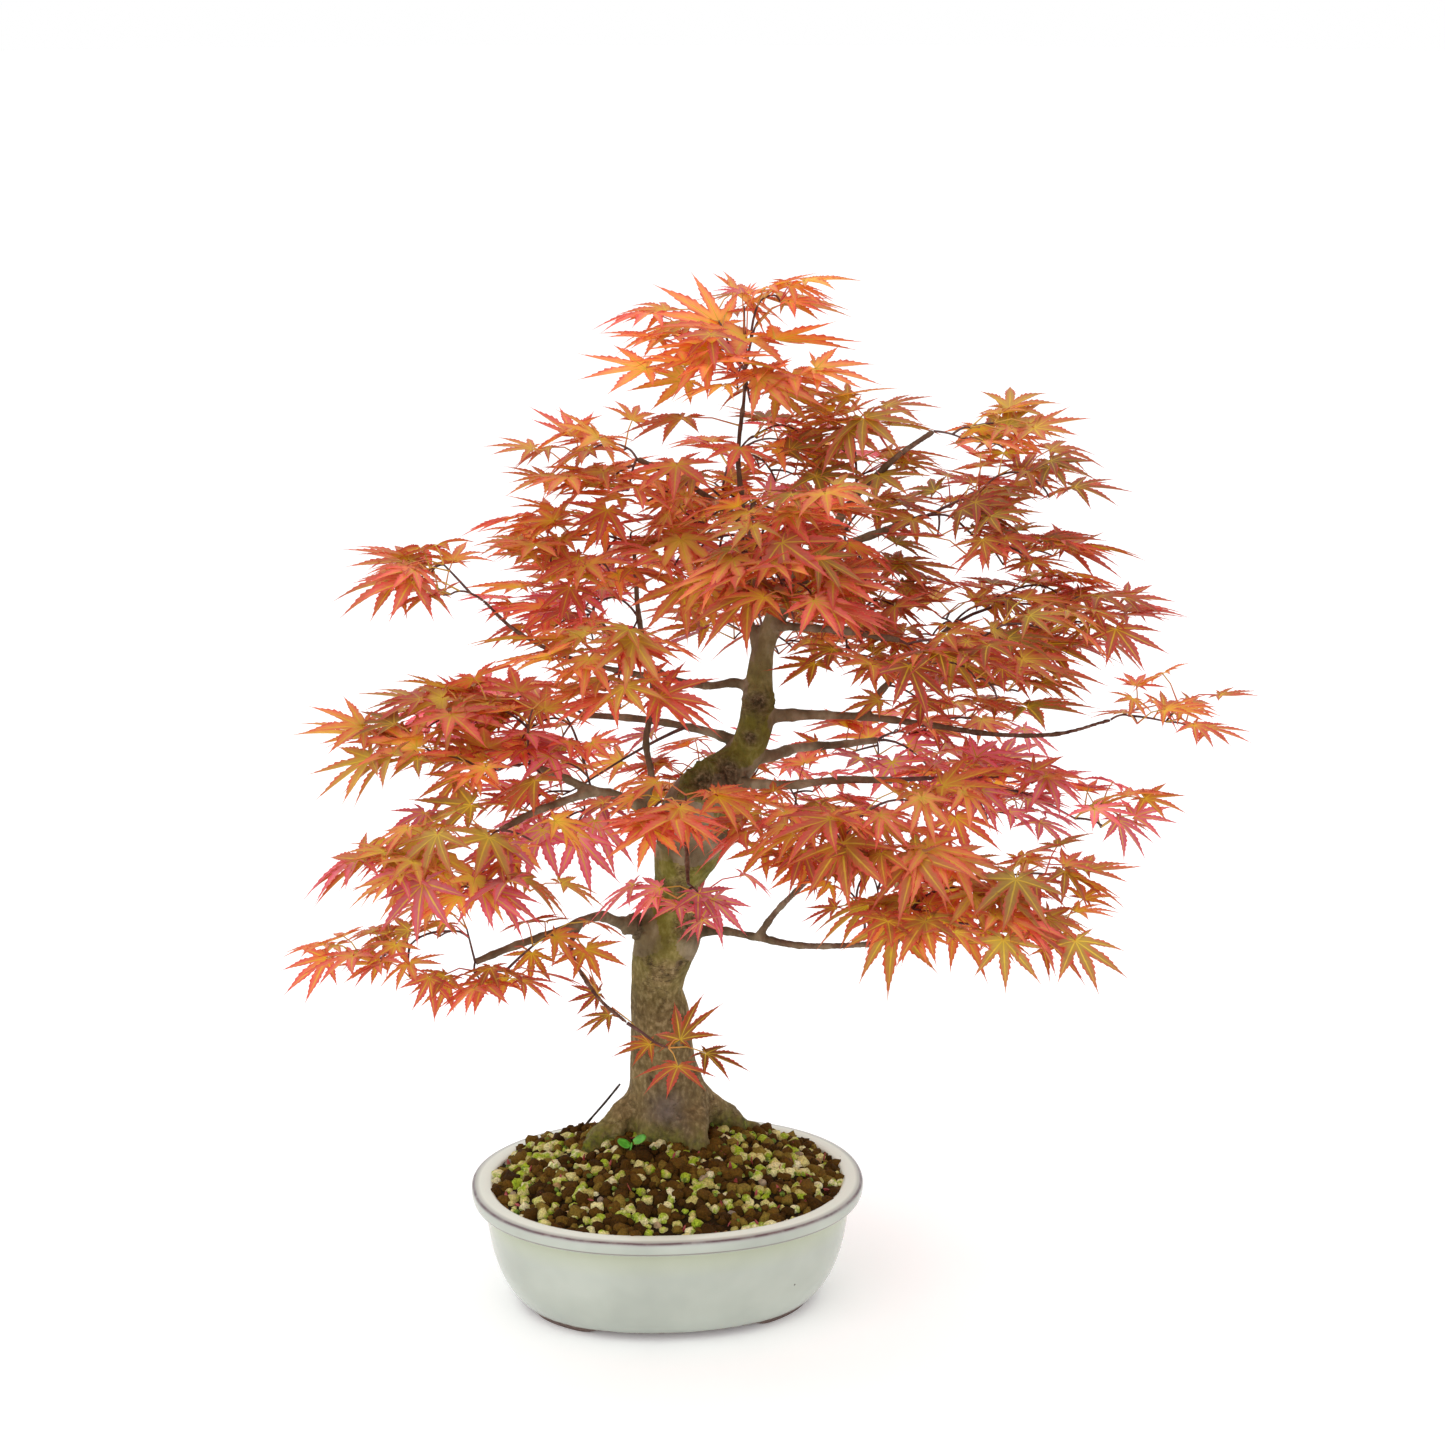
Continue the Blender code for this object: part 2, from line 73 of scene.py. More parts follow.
POT_LOW, POT_HIGH = (Vector(corner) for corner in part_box("pot"))
POT_CENTRE = Vector(((POT_LOW.x + POT_HIGH.x) / 2, (POT_LOW.y + POT_HIGH.y) / 2, POT_LOW.z))
RIM_HALF_LENGTH = (POT_HIGH.x - POT_LOW.x) / 2
LONGER_BY = RIM_HALF_LENGTH - (POT_HIGH.y - POT_LOW.y) / 2
OVAL_POWER = 2.15
TREE_AXES = Matrix.Translation(POT_CENTRE) @ Matrix.Rotation(TREE_TURN, 4, "Z") @ Matrix.Scale(MM, 4)


def in_tree(point):
    return TREE_AXES @ Vector(point)


# ---- Layout ----
# Wood stations (x, y, z, radius) in millimetres, in the tree's own axes. Branches and sprays go by their
# node's name without its branch_ or leaves_.
TRUNK = (
    (-2, 37, 66, 24.5), (-2, 37, 74, 26.5), (-1, 36, 84, 26.5), (-1, 35, 100, 23.3),
    (-1.5, 34, 114, 20.4), (-3, 33, 126, 18.6), (-3.5, 31, 139, 17.2), (-4, 29, 150, 17),
    (-5, 28, 162, 16), (-6, 27, 172, 14.3), (-4.5, 25, 184, 15.4), (-2, 23, 196, 17.4), (1, 22, 206, 18),
    (3, 21, 216, 16), (5, 20, 226, 14), (7, 19, 240, 13.8), (9, 18, 250, 17), (13, 17, 261, 19),
    (15, 15, 276, 19.4), (20, 13, 288, 17.5), (27, 12, 297, 15), (36, 11, 306, 12), (44, 10, 317, 9.8),
    (49, 8, 331, 9.4), (50, 6, 346, 8.5), (51, 5, 362, 7), (54, 3, 379, 5.8), (64, 0, 402, 5.6),
    (77, -2, 422, 5.4), (87, -4, 437, 4.6),
)
ROOTS = (
    (
        (-6, 36, 112, 13), (-16, 33, 101, 10.5), (-27, 27, 91, 9), (-38, 20, 82, 8), (-46, 13, 74, 7),
        (-52, 8, 66, 6)),
    ((4, 36, 112, 13), (18, 40, 98, 9), (30, 44, 89, 8), (40, 48, 82, 6.5), (50, 52, 74, 5), (54, 54, 66, 4)),
    ((6, 30, 104, 12), (13, 18, 93, 9), (16, 12, 85, 7.5), (18, 7, 73, 6)),
    ((-2, 40, 106, 13), (-14, 54, 92, 9), (-24, 64, 79, 6), (-28, 67, 68, 5)),
    ((2, 40, 106, 13), (14, 56, 91, 9), (20, 64, 79, 6), (24, 67, 68, 5)),
)
BRANCHES = {
    "left_low": (
        (0, 22, 206, 8), (-14, 19, 211, 7), (-27, 0, 221, 5), (-37, -20, 231, 4.4), (-56, -40, 230, 3.6),
        (-81, -55, 226, 3), (-100, -65, 221, 2.4)),
    "left_main": (
        (8, 16, 264, 8), (-6, 13, 272, 7), (-14, 5, 285, 5), (-26, -10, 296, 4.6), (-39, -20, 302, 4.4),
        (-53, -30, 312, 3.4), (-71, -38, 322, 2.6)),
    "left_front": ((-39, -20, 302, 3.4), (-55, -48, 304, 3), (-68, -66, 304, 2.6), (-84, -84, 300, 2)),
    "left_stem": (
        (-14, 5, 285, 3), (-8, 12, 299, 2.6), (-11, 18, 319, 2.4), (-7, 18, 347, 2.1), (-14, 8, 390, 1.8),
        (-16, -4, 430, 1.6)),
    "left_back": (
        (46, 10, 318, 5), (28, 24, 321, 4), (11, 40, 321, 3.4), (-15, 56, 321, 3), (-46, 68, 320, 2.4)),
    "left_mid": (
        (51, 6, 350, 4), (38, 6, 355, 3.6), (24, -4, 356, 3.2), (6, -30, 366, 2.6), (-6, -54, 380, 2)),
    "left_high": ((-12, 10, 372, 2), (-30, 26, 378, 1.8), (-40, 44, 384, 1.6)),
    "left_tip": (
        (-11, 16, 356, 2), (-34, 9, 363, 1.8), (-58, 4, 372, 1.6), (-80, 2, 385, 1.4), (-97, 0, 402, 1.2)),
    "apex": (
        (52, 5, 362, 4.4), (47, 3, 384, 3.6), (43, 1, 404, 3.1), (41, -2, 430, 2.5), (41, -4, 455, 2.1),
        (39, -6, 482, 1.7), (42, -7, 512, 1.4), (43, -7, 528, 1.2)),
    "upper_left": ((41, -3, 446, 2.4), (22, -6, 460, 2), (4, -8, 472, 1.8), (-14, -8, 480, 1.6)),
    "upper_front": ((41, -2, 430, 2.4), (46, -22, 440, 2), (54, -50, 448, 1.8)),
    "upper_back": ((42, 0, 416, 2.6), (45, 24, 430, 2.2), (48, 50, 448, 1.8)),
    "right_low": (
        (2, 22, 208, 7), (20, 19, 209, 4.8), (31, 8, 213, 3.8), (43, -10, 217, 3.4), (50, -20, 219, 3.1),
        (72, -50, 225, 2.4), (98, -75, 234, 2), (122, -92, 242, 1.7)),
    "right_rise": ((50, -20, 219, 2.2), (59, -40, 240, 2.2), (72, -62, 262, 1.9), (86, -84, 284, 1.6)),
    "right_front": (
        (28, 12, 296, 6), (44, 0, 300, 4.6), (66, -16, 304, 4), (92, -20, 308, 3.2), (122, -20, 308, 2.6)),
    "right_back": (
        (42, 10, 314, 6), (56, 16, 311, 5), (66, 30, 310, 4.6), (76, 44, 308, 4), (96, 60, 305, 3.4),
        (118, 76, 303, 2.8)),
    "right_long": (
        (50, 8, 335, 6), (64, 9, 336, 5), (79, 10, 336, 4.2), (106, 10, 335, 3.2), (139, 10, 331, 2.3),
        (177, 5, 326.5, 1.8), (211, 0, 328, 1.5), (240, 0, 336, 1.2)),
    "right_mid": ((106, 10, 335, 2.4), (120, 20, 350, 2.2), (140, 26, 368, 1.9), (156, 28, 382, 1.5)),
    "right_mid_front": ((58, 2, 388, 3.6), (74, -20, 392, 3), (96, -44, 396, 2.6), (122, -64, 396, 2)),
    "right_upper": ((78, -2, 424, 3.6), (96, 5, 431, 3.4), (116, 8, 438, 3), (138, 8, 446, 2.4)),
    "top_right": ((87, -4, 434, 3), (97, -10, 456, 2.6), (120, -28, 484, 2), (140, -26, 498, 1.6)),
    "back_low": ((7, 19, 242, 5), (9, 42, 250, 3.8), (14, 68, 260, 3), (18, 92, 268, 2.4)),
    "back_mid": ((50, 7, 341, 4.6), (52, 30, 350, 3.4), (54, 60, 360, 2.8), (55, 86, 368, 2.2)),
    "front": ((13, 16, 264, 5), (11, -14, 280, 3.2), (10, -50, 296, 2.6), (9, -88, 308, 2.2)),
    "front_small": ((11, -40, 291.5, 2), (12, -64, 284, 1.7), (13, -88, 272, 1.4)),
    "low_shoot": ((-46, -30, 230.5, 1.8), (-50, -46, 220, 1.6), (-36, -60, 200, 1.4), (-20, -63, 186, 1.2)),
}
# Healed cuts and knots on the trunk: centre, radius of the callus ring, height of the ring, depth inside it
SCARS = (
    ((13, 4, 214), 7.5, 2, 1), ((-5, 9, 201), 3.2, 0.9, 1), ((5, 13, 131), 4.5, 0.8, 0.9),
    ((-9, 17, 122), 3, 0.5, 0.6), ((20, -2, 303), 10, 3, 3), ((34, -2, 308), 8, 3, 2.4),
    ((-4, -1, 267), 6.5, 2.6, 3.4), ((33, 1, 270), 7.5, 2.6, 2.4), ((-18, 14, 212), 7, 2.2, 1.6),
    ((50, -2, 347), 7, 2.6, 1.8), ((46, 0, 326), 5, 1.4, 1.6), ((7, 9, 194), 3.4, 0.8, 1),
    ((0, 3, 110), 4, 0.5, 0.7), ((28, 30, 262), 5, 1.6, 1.8), ((-6, 44, 190), 5, 1.2, 1.4),
    ((8, 36, 240), 4, 1.4, 1.6), ((12, 8, 160), 3, 0.5, 0.5), ((-13, 20, 150), 3.5, 0.6, 0.6),
    ((8, 4, 238), 4, 0.9, 0.8),
)
STAIN = in_tree((0, 8, 106)) / MM  # a purple-grey weathered patch low on the front
TWIG = ((-53, 60, 70, 0.8), (-45, 56.5, 81.5, 0.65), (-36.5, 52, 93.5, 0.75), (-28, 48, 106, 0.6))
SEEDLING_STEM = ((-22, 0, 73, 0.6), (-21, 0, 84, 0.55), (-20, 1, 90, 0.5))

# Sprays: node, the branch that carries it, twigs, mean leaf width in mm, droop in degrees, how far its twigs
# rise and fall against the spray's half height, and colours
SPRAYS = (
    ("apex", "apex", 16, 56, 2, 1.15, "gold orange orange red"),
    ("upper_left", "upper_left", 9, 50, 0, 1.1, "orange gold red"),
    ("top_right", "top_right", 6, 48, 2, 0.9, "gold olive orange"),
    ("upper_right", "right_upper", 17, 52, 5, 1.1, "rust orange olive rust red"),
    ("upper_front", "upper_front", 13, 56, 8, 1.2, "orange red orange olive"),
    ("upper_back", "upper_back", 9, 50, 4, 1.2, "pink orange pink rust"),
    ("left_upper", "left_stem", 13, 52, 2, 1.4, "orange red orange gold"),
    ("left_tip", "left_tip", 8, 52, 4, 0.8, "red orange"),
    ("centre_left", "left_mid", 12, 54, 10, 1.2, "orange red gold"),
    ("left_mid_back", "left_high", 10, 50, 6, 1.2, "pink orange red"),
    ("right_mid", "right_mid", 18, 52, 6, 1.1, "rust orange red rust"),
    ("right_mid_front", "right_mid_front", 13, 52, 12, 1.1, "rust olive orange red"),
    ("far_right", "right_long", 8, 40, 8, 0.6, "red orange rust"),
    ("left_big", "left_main", 17, 56, 8, 1.1, "orange red gold orange olive"),
    ("left_lower", "left_front", 11, 54, 22, 0.9, "orange gold olive pink red"),
    ("left_back", "left_back", 11, 52, 12, 1.1, "pink pink red"),
    ("left_low", "left_low", 11, 46, 18, 0.8, "red orange orange rust"),
    ("centre_front", "front", 5, 52, 16, 1.0, "orange red orange"),
    ("front_small", "front_small", 4, 42, 26, 0.8, "pink pink"),
    ("right_centre", "right_rise", 10, 56, 26, 1.0, "orange red orange rust"),
    ("right_low", "right_low", 13, 52, 20, 0.9, "orange red rust olive"),
    ("right_inner", "right_front", 11, 50, 12, 1.1, "pink red pink"),
    ("right_back", "right_back", 12, 52, 8, 1.1, "pink orange red"),
    ("back_mid", "back_mid", 11, 52, 8, 1.2, "orange pink rust"),
    ("back_low", "back_low", 10, 52, 16, 1.0, "orange red pink"),
    ("low_shoot", "low_shoot", 0, 42, 8, 0.7, "rust red"),
)
# Leaves along the way to a spray: the spray's node, its branch and the station they start from, the middle
# and half size of the room they fill in the tree's axes, then as above
FILLS = (
    ("apex", "apex", 5, (54, -8, 492), (44, 40, 22), 10, 50, 2, 1.0, "orange rust red olive"),
    ("top_right", "top_right", 1, (100, -8, 496), (34, 34, 24), 7, 48, 4, 1.0, "orange rust olive"),
    ("upper_right", "right_upper", 1, (102, 4, 438), (44, 44, 30), 12, 50, 6, 1.0, "rust olive orange"),
    (
        "right_mid_front", "right_mid_front", 1, (106, -24, 396), (44, 44, 30), 13, 50, 8, 1.0,
        "rust red orange"),
    ("upper_front", "upper_front", 1, (18, -30, 436), (40, 36, 22), 7, 52, 6, 1.0, "orange red gold"),
    ("upper_front", "upper_front", 2, (62, -62, 432), (46, 36, 24), 9, 56, 10, 1.0, "orange rust red olive"),
    ("right_mid", "right_mid", 1, (150, 22, 352), (44, 40, 22), 8, 50, 8, 1.0, "rust red orange"),
    ("upper_back", "upper_back", 1, (40, 34, 440), (50, 40, 30), 8, 50, 6, 1.0, "pink orange red"),
    ("right_inner", "right_front", 4, (230, -24, 296), (36, 36, 12), 6, 50, 12, 0.8, "pink red orange"),
    ("right_mid", "right_mid", 3, (222, 20, 398), (34, 40, 16), 6, 50, 6, 0.8, "rust red orange"),
    ("left_upper", "left_stem", 4, (-34, 6, 398), (44, 40, 20), 7, 50, 4, 1.0, "red orange pink"),
    ("left_big", "left_main", 4, (-60, -20, 340), (44, 40, 20), 7, 52, 8, 1.0, "orange red pink"),
    ("left_back", "left_back", 2, (-60, 30, 286), (50, 36, 22), 8, 48, 16, 1.0, "pink pink red"),
    ("right_centre", "right_rise", 2, (66, -64, 302), (44, 36, 22), 8, 50, 14, 1.0, "orange red rust"),
    ("right_low", "right_low", 6, (112, -84, 276), (46, 34, 18), 8, 50, 18, 0.9, "orange red olive"),
    ("right_inner", "right_front", 2, (76, -20, 300), (36, 30, 16), 6, 46, 12, 1.0, "pink red"),
    ("apex", "apex", 4, (6, -22, 470), (42, 34, 22), 7, 50, 4, 1.0, "orange gold red"),
)
# How much higher a spray's leaves stand than the middle of its room, in mm
LIFTS = {
    "left_lower": 10, "left_low": 6, "right_low": 27, "centre_front": 12,
    "front_small": 7, "right_centre": 12,
}
CLEAR_TWIGS = {
    "low_shoot": ((-20, -63, 186), (-13, -65, 182), (-5, -66, 176), (2, -66, 173)),
    "apex": ((43, -7, 528), (43, -7, 538), (42, -6, 549), (42, -6, 560)),
}
# Painted light and shade: sprays whose leaves are painted paler where light falls on the crown and deeper
# where they lie in shade
PAINTED_LIGHT_BY_SPRAY = {
    "apex": 1.12, "left_tip": 1.1, "left_upper": 1.06, "upper_right": 0.84,
    "right_mid": 0.86, "right_mid_front": 0.84, "low_shoot": 0.72, "far_right": 1.05,
}
# Single leaves that stand clear: the foot of the stalk, the leaf's base, the way it points and its droop in
# degrees, its width in mm and its colour
CLEAR_LEAVES = {
    "low_shoot": (
        ((-47, -38, 225), (-36, -47, 197), 185, 14, 30, "red"),
        ((-44, -52, 211), (-30, -50, 186), 190, 18, 32, "rust"),
        ((-28, -61, 194), (-8, -62, 174), 200, 10, 34, "rust"),
        ((2, -66, 173), (8, -66, 178), 62, -34, 52, "rust"),
        ((2, -66, 173), (7, -71, 165), 262, 8, 46, "red"),
        ((2, -66, 173), (22, -68, 171), 340, 10, 42, "rust"),
    ),
    "apex": (
        ((43, -7, 528), (43, -12, 545), 225, -4, 88, "orange"),
        ((43, -7, 528), (30, -4, 550), 166, -36, 62, "orange"),
        ((43, -7, 528), (12, -14, 523), 200, 6, 56, "gold"),
        ((43, -7, 528), (41, -6, 567), 178, -8, 26, "pink"),
        ((43, -7, 528), (44, -8, 567), 30, -50, 13, "red"),
        ((43, -7, 528), (58, -4, 543), 345, 0, 78, "orange"),
        ((41, -6, 497), (10, -24, 505), 215, 10, 56, "orange"),
    ),
    "left_lower": (
        ((-84, -84, 300), (-122, -102, 303), 205, 32, 72, "gold"),
        ((-84, -84, 300), (-116, -108, 295), 262, 48, 66, "gold"),
        ((-68, -66, 304), (-100, -70, 310), 190, 20, 62, "olive"),
        ((-55, -48, 304), (-64, -56, 292), 245, 45, 56, "pink"),
        ((-55, -48, 304), (-46, -54, 288), 288, 48, 54, "pink"),
        ((-39, -20, 302), (-78, -44, 290), 215, 38, 50, "pink"),
    ),
    "right_low": (
        ((122, -92, 242), (119, -106, 257), 262, 48, 62, "gold"),
        ((122, -92, 242), (150, -108, 262), 300, 40, 58, "orange"),
    ),
    "top_right": (
        ((120, -28, 484), (104, -24, 505), 300, 12, 60, "gold"),
        ((120, -28, 484), (96, -20, 514), 170, -6, 40, "olive"),
    ),
    "left_low": (
        ((-56, -40, 230), (-42, -52, 224), 290, 26, 46, "orange"),
        ((-81, -55, 226), (-70, -64, 226), 265, 30, 34, "rust"),
    ),
}
# Leaf colours: the blade and the heart where its veins meet
LEAF_COLOURS = {
    "gold": ("#d69a54", "#dcc84c"),
    "orange": ("#da7e58", "#e0b84a"),
    "olive": ("#ae8048", "#c8b248"),
    "rust": ("#b2603c", "#cc9e42"),
    "red": ("#d8645e", "#e2a058"),
    "pink": ("#e46e88", "#ea9890"),
}


# ---- Small tools ----
def from_hex(code):
    """An sRGB hex colour as linear red, green, blue and 1."""
    shares = [int(code[i : i + 2], 16) / 255 for i in (1, 3, 5)]
    linear = [s / 12.92 if s <= 0.04045 else ((s + 0.055) / 1.055) ** 2.4 for s in shares]
    return (*linear, 1.0)


def add(tree, kind, links=None, **settings):
    """Adds one node with its settings, and joins or sets its inputs."""
    node = tree.nodes.new(kind)
    for name, value in settings.items():
        setattr(node, name, value)
    for key, value in (links or {}).items():
        if isinstance(value, bpy.types.NodeSocket):
            tree.links.new(value, node.inputs[key])
        else:
            node.inputs[key].default_value = value
    return node


def add_object(name, mesh):
    obj = bpy.data.objects.new(name, mesh)
    bpy.context.scene.collection.objects.link(obj)
    return obj


def into_frame(piece, slot, *nodes):
    """Rides the one body in place of these CAD nodes; the slot is not used."""
    if nodes:
        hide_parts(*nodes)
    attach(piece, "root")


def coat(piece, mat):
    """The whole piece in one material, shaded smooth."""
    piece.data.materials.clear()
    piece.data.materials.append(mat)
    piece.data.shade_smooth()


def middle_and_half(low, high):
    low, high = Vector(low), Vector(high)
    return (low + high) / 2, (high - low) / 2


def from_bmesh(name, bm):
    mesh = bpy.data.meshes.new(name)
    bm.to_mesh(mesh)
    bm.free()
    return mesh


def turned(ring):
    """The ring of point numbers, moved on by one."""
    return ring[1:] + ring[:1]


def ring_faces(first, second):
    """Quads from one closed ring of point numbers to the next."""
    return list(zip(first, second, turned(second), turned(first)))


def fan_faces(pole, ring):
    """Triangles from one point to a closed ring."""
    return [(pole, a, b) for a, b in zip(ring, turned(ring))]


def mesh_from(name, points, faces):
    mesh = bpy.data.meshes.new(name)
    mesh.from_pydata([tuple(p) for p in points], [], faces)
    mesh.validate()
    return mesh


def add_shape(name, points, faces):
    return add_object(name, mesh_from(name, points, faces))


def applied(obj):
    """The object's mesh with its modifiers applied, on the same object."""
    bpy.context.view_layer.update()
    graph = bpy.context.evaluated_depsgraph_get()
    mesh = bpy.data.meshes.new_from_object(obj.evaluated_get(graph))
    obj.modifiers.clear()
    obj.data = mesh
    return obj


def set_floats(mesh, name, values, kind="FLOAT"):
    layer = mesh.attributes.new(name, kind, "POINT")
    field = {"FLOAT": "value", "INT": "value", "FLOAT_VECTOR": "vector", "FLOAT_COLOR": "color"}[kind]
    dtype = np.int32 if kind == "INT" else np.float32
    layer.data.foreach_set(field, np.asarray(values, dtype).ravel())


def clipped(value):
    return max(0.0, min(1.0, value))


def points_of(mesh):
    points = np.empty(len(mesh.vertices) * 3, np.float32)
    mesh.vertices.foreach_get("co", points)
    return points.reshape(-1, 3).astype(float)


def smooth_path(stations, step):
    """Stations joined by a smooth curve, sampled about every step: rows of x, y, z, radius."""
    rows = np.array(stations, float)
    padded = np.vstack([2 * rows[0] - rows[1], rows, 2 * rows[-1] - rows[-2]])
    path = []
    for i in range(1, len(padded) - 2):
        a, b, c, d = padded[i - 1 : i + 3]
        count = max(2, math.ceil(np.linalg.norm(c[:3] - b[:3]) / step))
        for t in np.arange(count) / count:
            curve = 2 * b + (c - a) * t + (2 * a - 5 * b + 4 * c - d) * t**2 + (3 * b - a - 3 * c + d) * t**3
            path.append(0.5 * curve)
    path.append(padded[-2])
    return np.array(path)


def tube(path, sides):
    """Points and faces of a closed tube along rows of x, y, z, radius."""
    points, faces = [], []
    up = Vector((0.3, 1, 0.1)).normalized()
    for i, row in enumerate(path):
        ahead = Vector(path[min(i + 1, len(path) - 1)][:3]) - Vector(path[max(i - 1, 0)][:3])
        ahead.normalize()
        up = (up - ahead * up.dot(ahead)).normalized()
        across = ahead.cross(up)
        for k in range(sides):
            angle = math.tau * k / sides
            points.append(Vector(row[:3]) + (across * math.cos(angle) + up * math.sin(angle)) * row[3])
    for i in range(len(path) - 1):
        for k in range(sides):
            n = (k + 1) % sides
            faces.append((i * sides + k, i * sides + n, (i + 1) * sides + n, (i + 1) * sides + k))
    faces.append(tuple(reversed(range(sides))))
    faces.append(tuple(range((len(path) - 1) * sides, len(path) * sides)))
    return points, faces


def new_material(name):
    mat = bpy.data.materials.new(name)
    mat.use_nodes = True
    mat.node_tree.nodes.clear()
    return mat, mat.node_tree


def ramp(factor, stops):
    """A colour ramp through (position, hex colour) stops."""
    node = add(factor.id_data, "ShaderNodeValToRGB", {"Fac": factor})
    elements = node.color_ramp.elements
    while len(elements) < len(stops):
        elements.new(0.5)
    for element, (position, code) in zip(elements, stops):
        element.position = position
        element.color = from_hex(code)
    return node.outputs["Color"]


def remap(value, low, high, to_low=0.0, to_high=1.0):
    links = {"Value": value, "From Min": low, "From Max": high, "To Min": to_low, "To Max": to_high}
    return add(value.id_data, "ShaderNodeMapRange", links).outputs["Result"]


def maths(operation, first, second=0.5):
    return add(first.id_data, "ShaderNodeMath", {0: first, 1: second}, operation=operation).outputs[0]


def times(first, second):
    return maths("MULTIPLY", first, second)


def plus(first, second):
    return maths("ADD", first, second)


def minus(first, second):
    return maths("SUBTRACT", first, second)


def mixed(factor, first, second):
    """The first colour, going over to the second, a socket or a hex colour, by the factor."""
    second = from_hex(second) if isinstance(second, str) else second
    return add(first.id_data, "ShaderNodeMix", {0: factor, 6: first, 7: second}, data_type="RGBA").outputs[2]


def adjusted(colour, saturation=1.0, value=1.0):
    links = {"Saturation": saturation, "Value": value, "Color": colour}
    return add(colour.id_data, "ShaderNodeHueSaturation", links).outputs[0]


def attribute(tree, name, output="Fac"):
    return add(tree, "ShaderNodeAttribute", attribute_name=name).outputs[output]


def noise_of(tree, size_mm, stretch=(1, 1, 1), detail=4.0, roughness=0.55):
    """Noise whose largest lumps are about size_mm across, on Object coordinates."""
    place = add(tree, "ShaderNodeTexCoord").outputs["Object"]
    mapped = add(tree, "ShaderNodeMapping", {"Vector": place, "Scale": stretch}).outputs["Vector"]
    settings = {"Vector": mapped, "Scale": 1 / (size_mm * MM), "Detail": detail, "Roughness": roughness}
    return add(tree, "ShaderNodeTexNoise", settings).outputs["Fac"]


def cells(tree, size_mm):
    """The distance from the nearest of points scattered about size_mm apart."""
    place = add(tree, "ShaderNodeTexCoord").outputs["Object"]
    links = {"Vector": place, "Scale": 1 / (size_mm * MM)}
    return add(tree, "ShaderNodeTexVoronoi", links).outputs["Distance"]


def relief(height, strength, distance):
    links = {"Height": height, "Strength": strength, "Distance": distance}
    return add(height.id_data, "ShaderNodeBump", links).outputs[0]


def opaque(colour, roughness, normal=None, specular=0.5, ior=1.5):
    """A Principled surface of this colour."""
    links = {"Base Color": colour, "Roughness": roughness, "Specular IOR Level": specular, "IOR": ior}
    if normal:
        links["Normal"] = normal
    return add(colour.id_data, "ShaderNodeBsdfPrincipled", links).outputs[0]


def finish_material(mat, shader):
    add(mat.node_tree, "ShaderNodeOutputMaterial", {"Surface": shader})
    return mat


# ---- Geometry node trees ----
def new_geometry_tree(name, inputs):
    tree = bpy.data.node_groups.new(name, "GeometryNodeTree")
    tree.interface.new_socket("Geometry", in_out="INPUT", socket_type="NodeSocketGeometry")
    for label, kind in inputs:
        tree.interface.new_socket(label, in_out="INPUT", socket_type="NodeSocket" + kind)
    tree.interface.new_socket("Geometry", in_out="OUTPUT", socket_type="NodeSocketGeometry")
    return tree, add(tree, "NodeGroupInput").outputs


def finish_geometry_tree(tree, geometry, material_socket):
    real = add(tree, "GeometryNodeRealizeInstances", {"Geometry": geometry}).outputs[0]
    coated = add(tree, "GeometryNodeSetMaterial", {"Geometry": real, "Material": material_socket}).outputs[0]
    add(tree, "NodeGroupOutput", {"Geometry": coated})
    return tree


def grown(obj, tree, values):
    """Runs a geometry tree on the object with these inputs and keeps the result as its plain mesh."""
    modifier = obj.modifiers.new(tree.name, "NODES")
    modifier.node_group = tree
    sockets = {s.name: s.identifier for s in tree.interface.items_tree if s.in_out == "INPUT"}
    for name, value in values.items():
        modifier[sockets[name]] = value
    return applied(obj)


def named(tree, name, kind="FLOAT"):
    """A point's attribute."""
    return add(tree, "GeometryNodeInputNamedAttribute", {"Name": name}, data_type=kind).outputs[0]


def draw(tree, low, high, seed):
    return add(tree, "FunctionNodeRandomValue", {2: low, 3: high, "Seed": seed}, data_type="FLOAT").outputs[1]


def compared(first, operation, second):
    return add(first.id_data, "FunctionNodeCompare", {0: first, 1: second}, operation=operation).outputs[0]


def on_points(tree, points, collection, which, turn, size, **more):
    """One shape from the collection on each point: which one, how turned and how big."""
    kinds = {"Collection": collection, "Separate Children": True, "Reset Children": True}
    shapes = add(tree, "GeometryNodeCollectionInfo", kinds).outputs[0]
    rotation = add(tree, "FunctionNodeEulerToRotation", {"Euler": turn}).outputs[0]
    links = {"Points": points, "Instance": shapes, "Pick Instance": True, "Instance Index": which}
    links |= {"Rotation": rotation, "Scale": size, **more}
    return add(tree, "GeometryNodeInstanceOnPoints", links).outputs[0]


def leaf_placing_tree():
    """A leaf on each point: which one, how big and how turned come from the point's attributes."""
    tree, given = new_geometry_tree("place_leaves", (("Leaves", "Collection"), ("Material", "Material")))
    turn, size, kind = named(tree, "turn", "FLOAT_VECTOR"), named(tree, "size"), named(tree, "kind", "INT")
    placed = on_points(tree, given["Geometry"], given["Leaves"], kind, turn, size)
    return finish_geometry_tree(tree, placed, given["Material"])


def stalk_tree():
    """A round stalk along each run of edges, as thick as its points' girth."""
    tree, given = new_geometry_tree("grow_stalks", (("Sides", "Int"), ("Material", "Material")))
    runs = add(tree, "GeometryNodeMeshToCurve", {"Mesh": given["Geometry"]}).outputs[0]
    links = {"Resolution": given["Sides"], "Radius": 1.0}
    ring = add(tree, "GeometryNodeCurvePrimitiveCircle", links).outputs[0]
    links = {"Curve": runs, "Profile Curve": ring, "Scale": named(tree, "girth"), "Fill Caps": True}
    stalks = add(tree, "GeometryNodeCurveToMesh", links).outputs[0]
    smooth = add(tree, "GeometryNodeSetShadeSmooth", {"Geometry": stalks}).outputs[0]
    return finish_geometry_tree(tree, smooth, given["Material"])


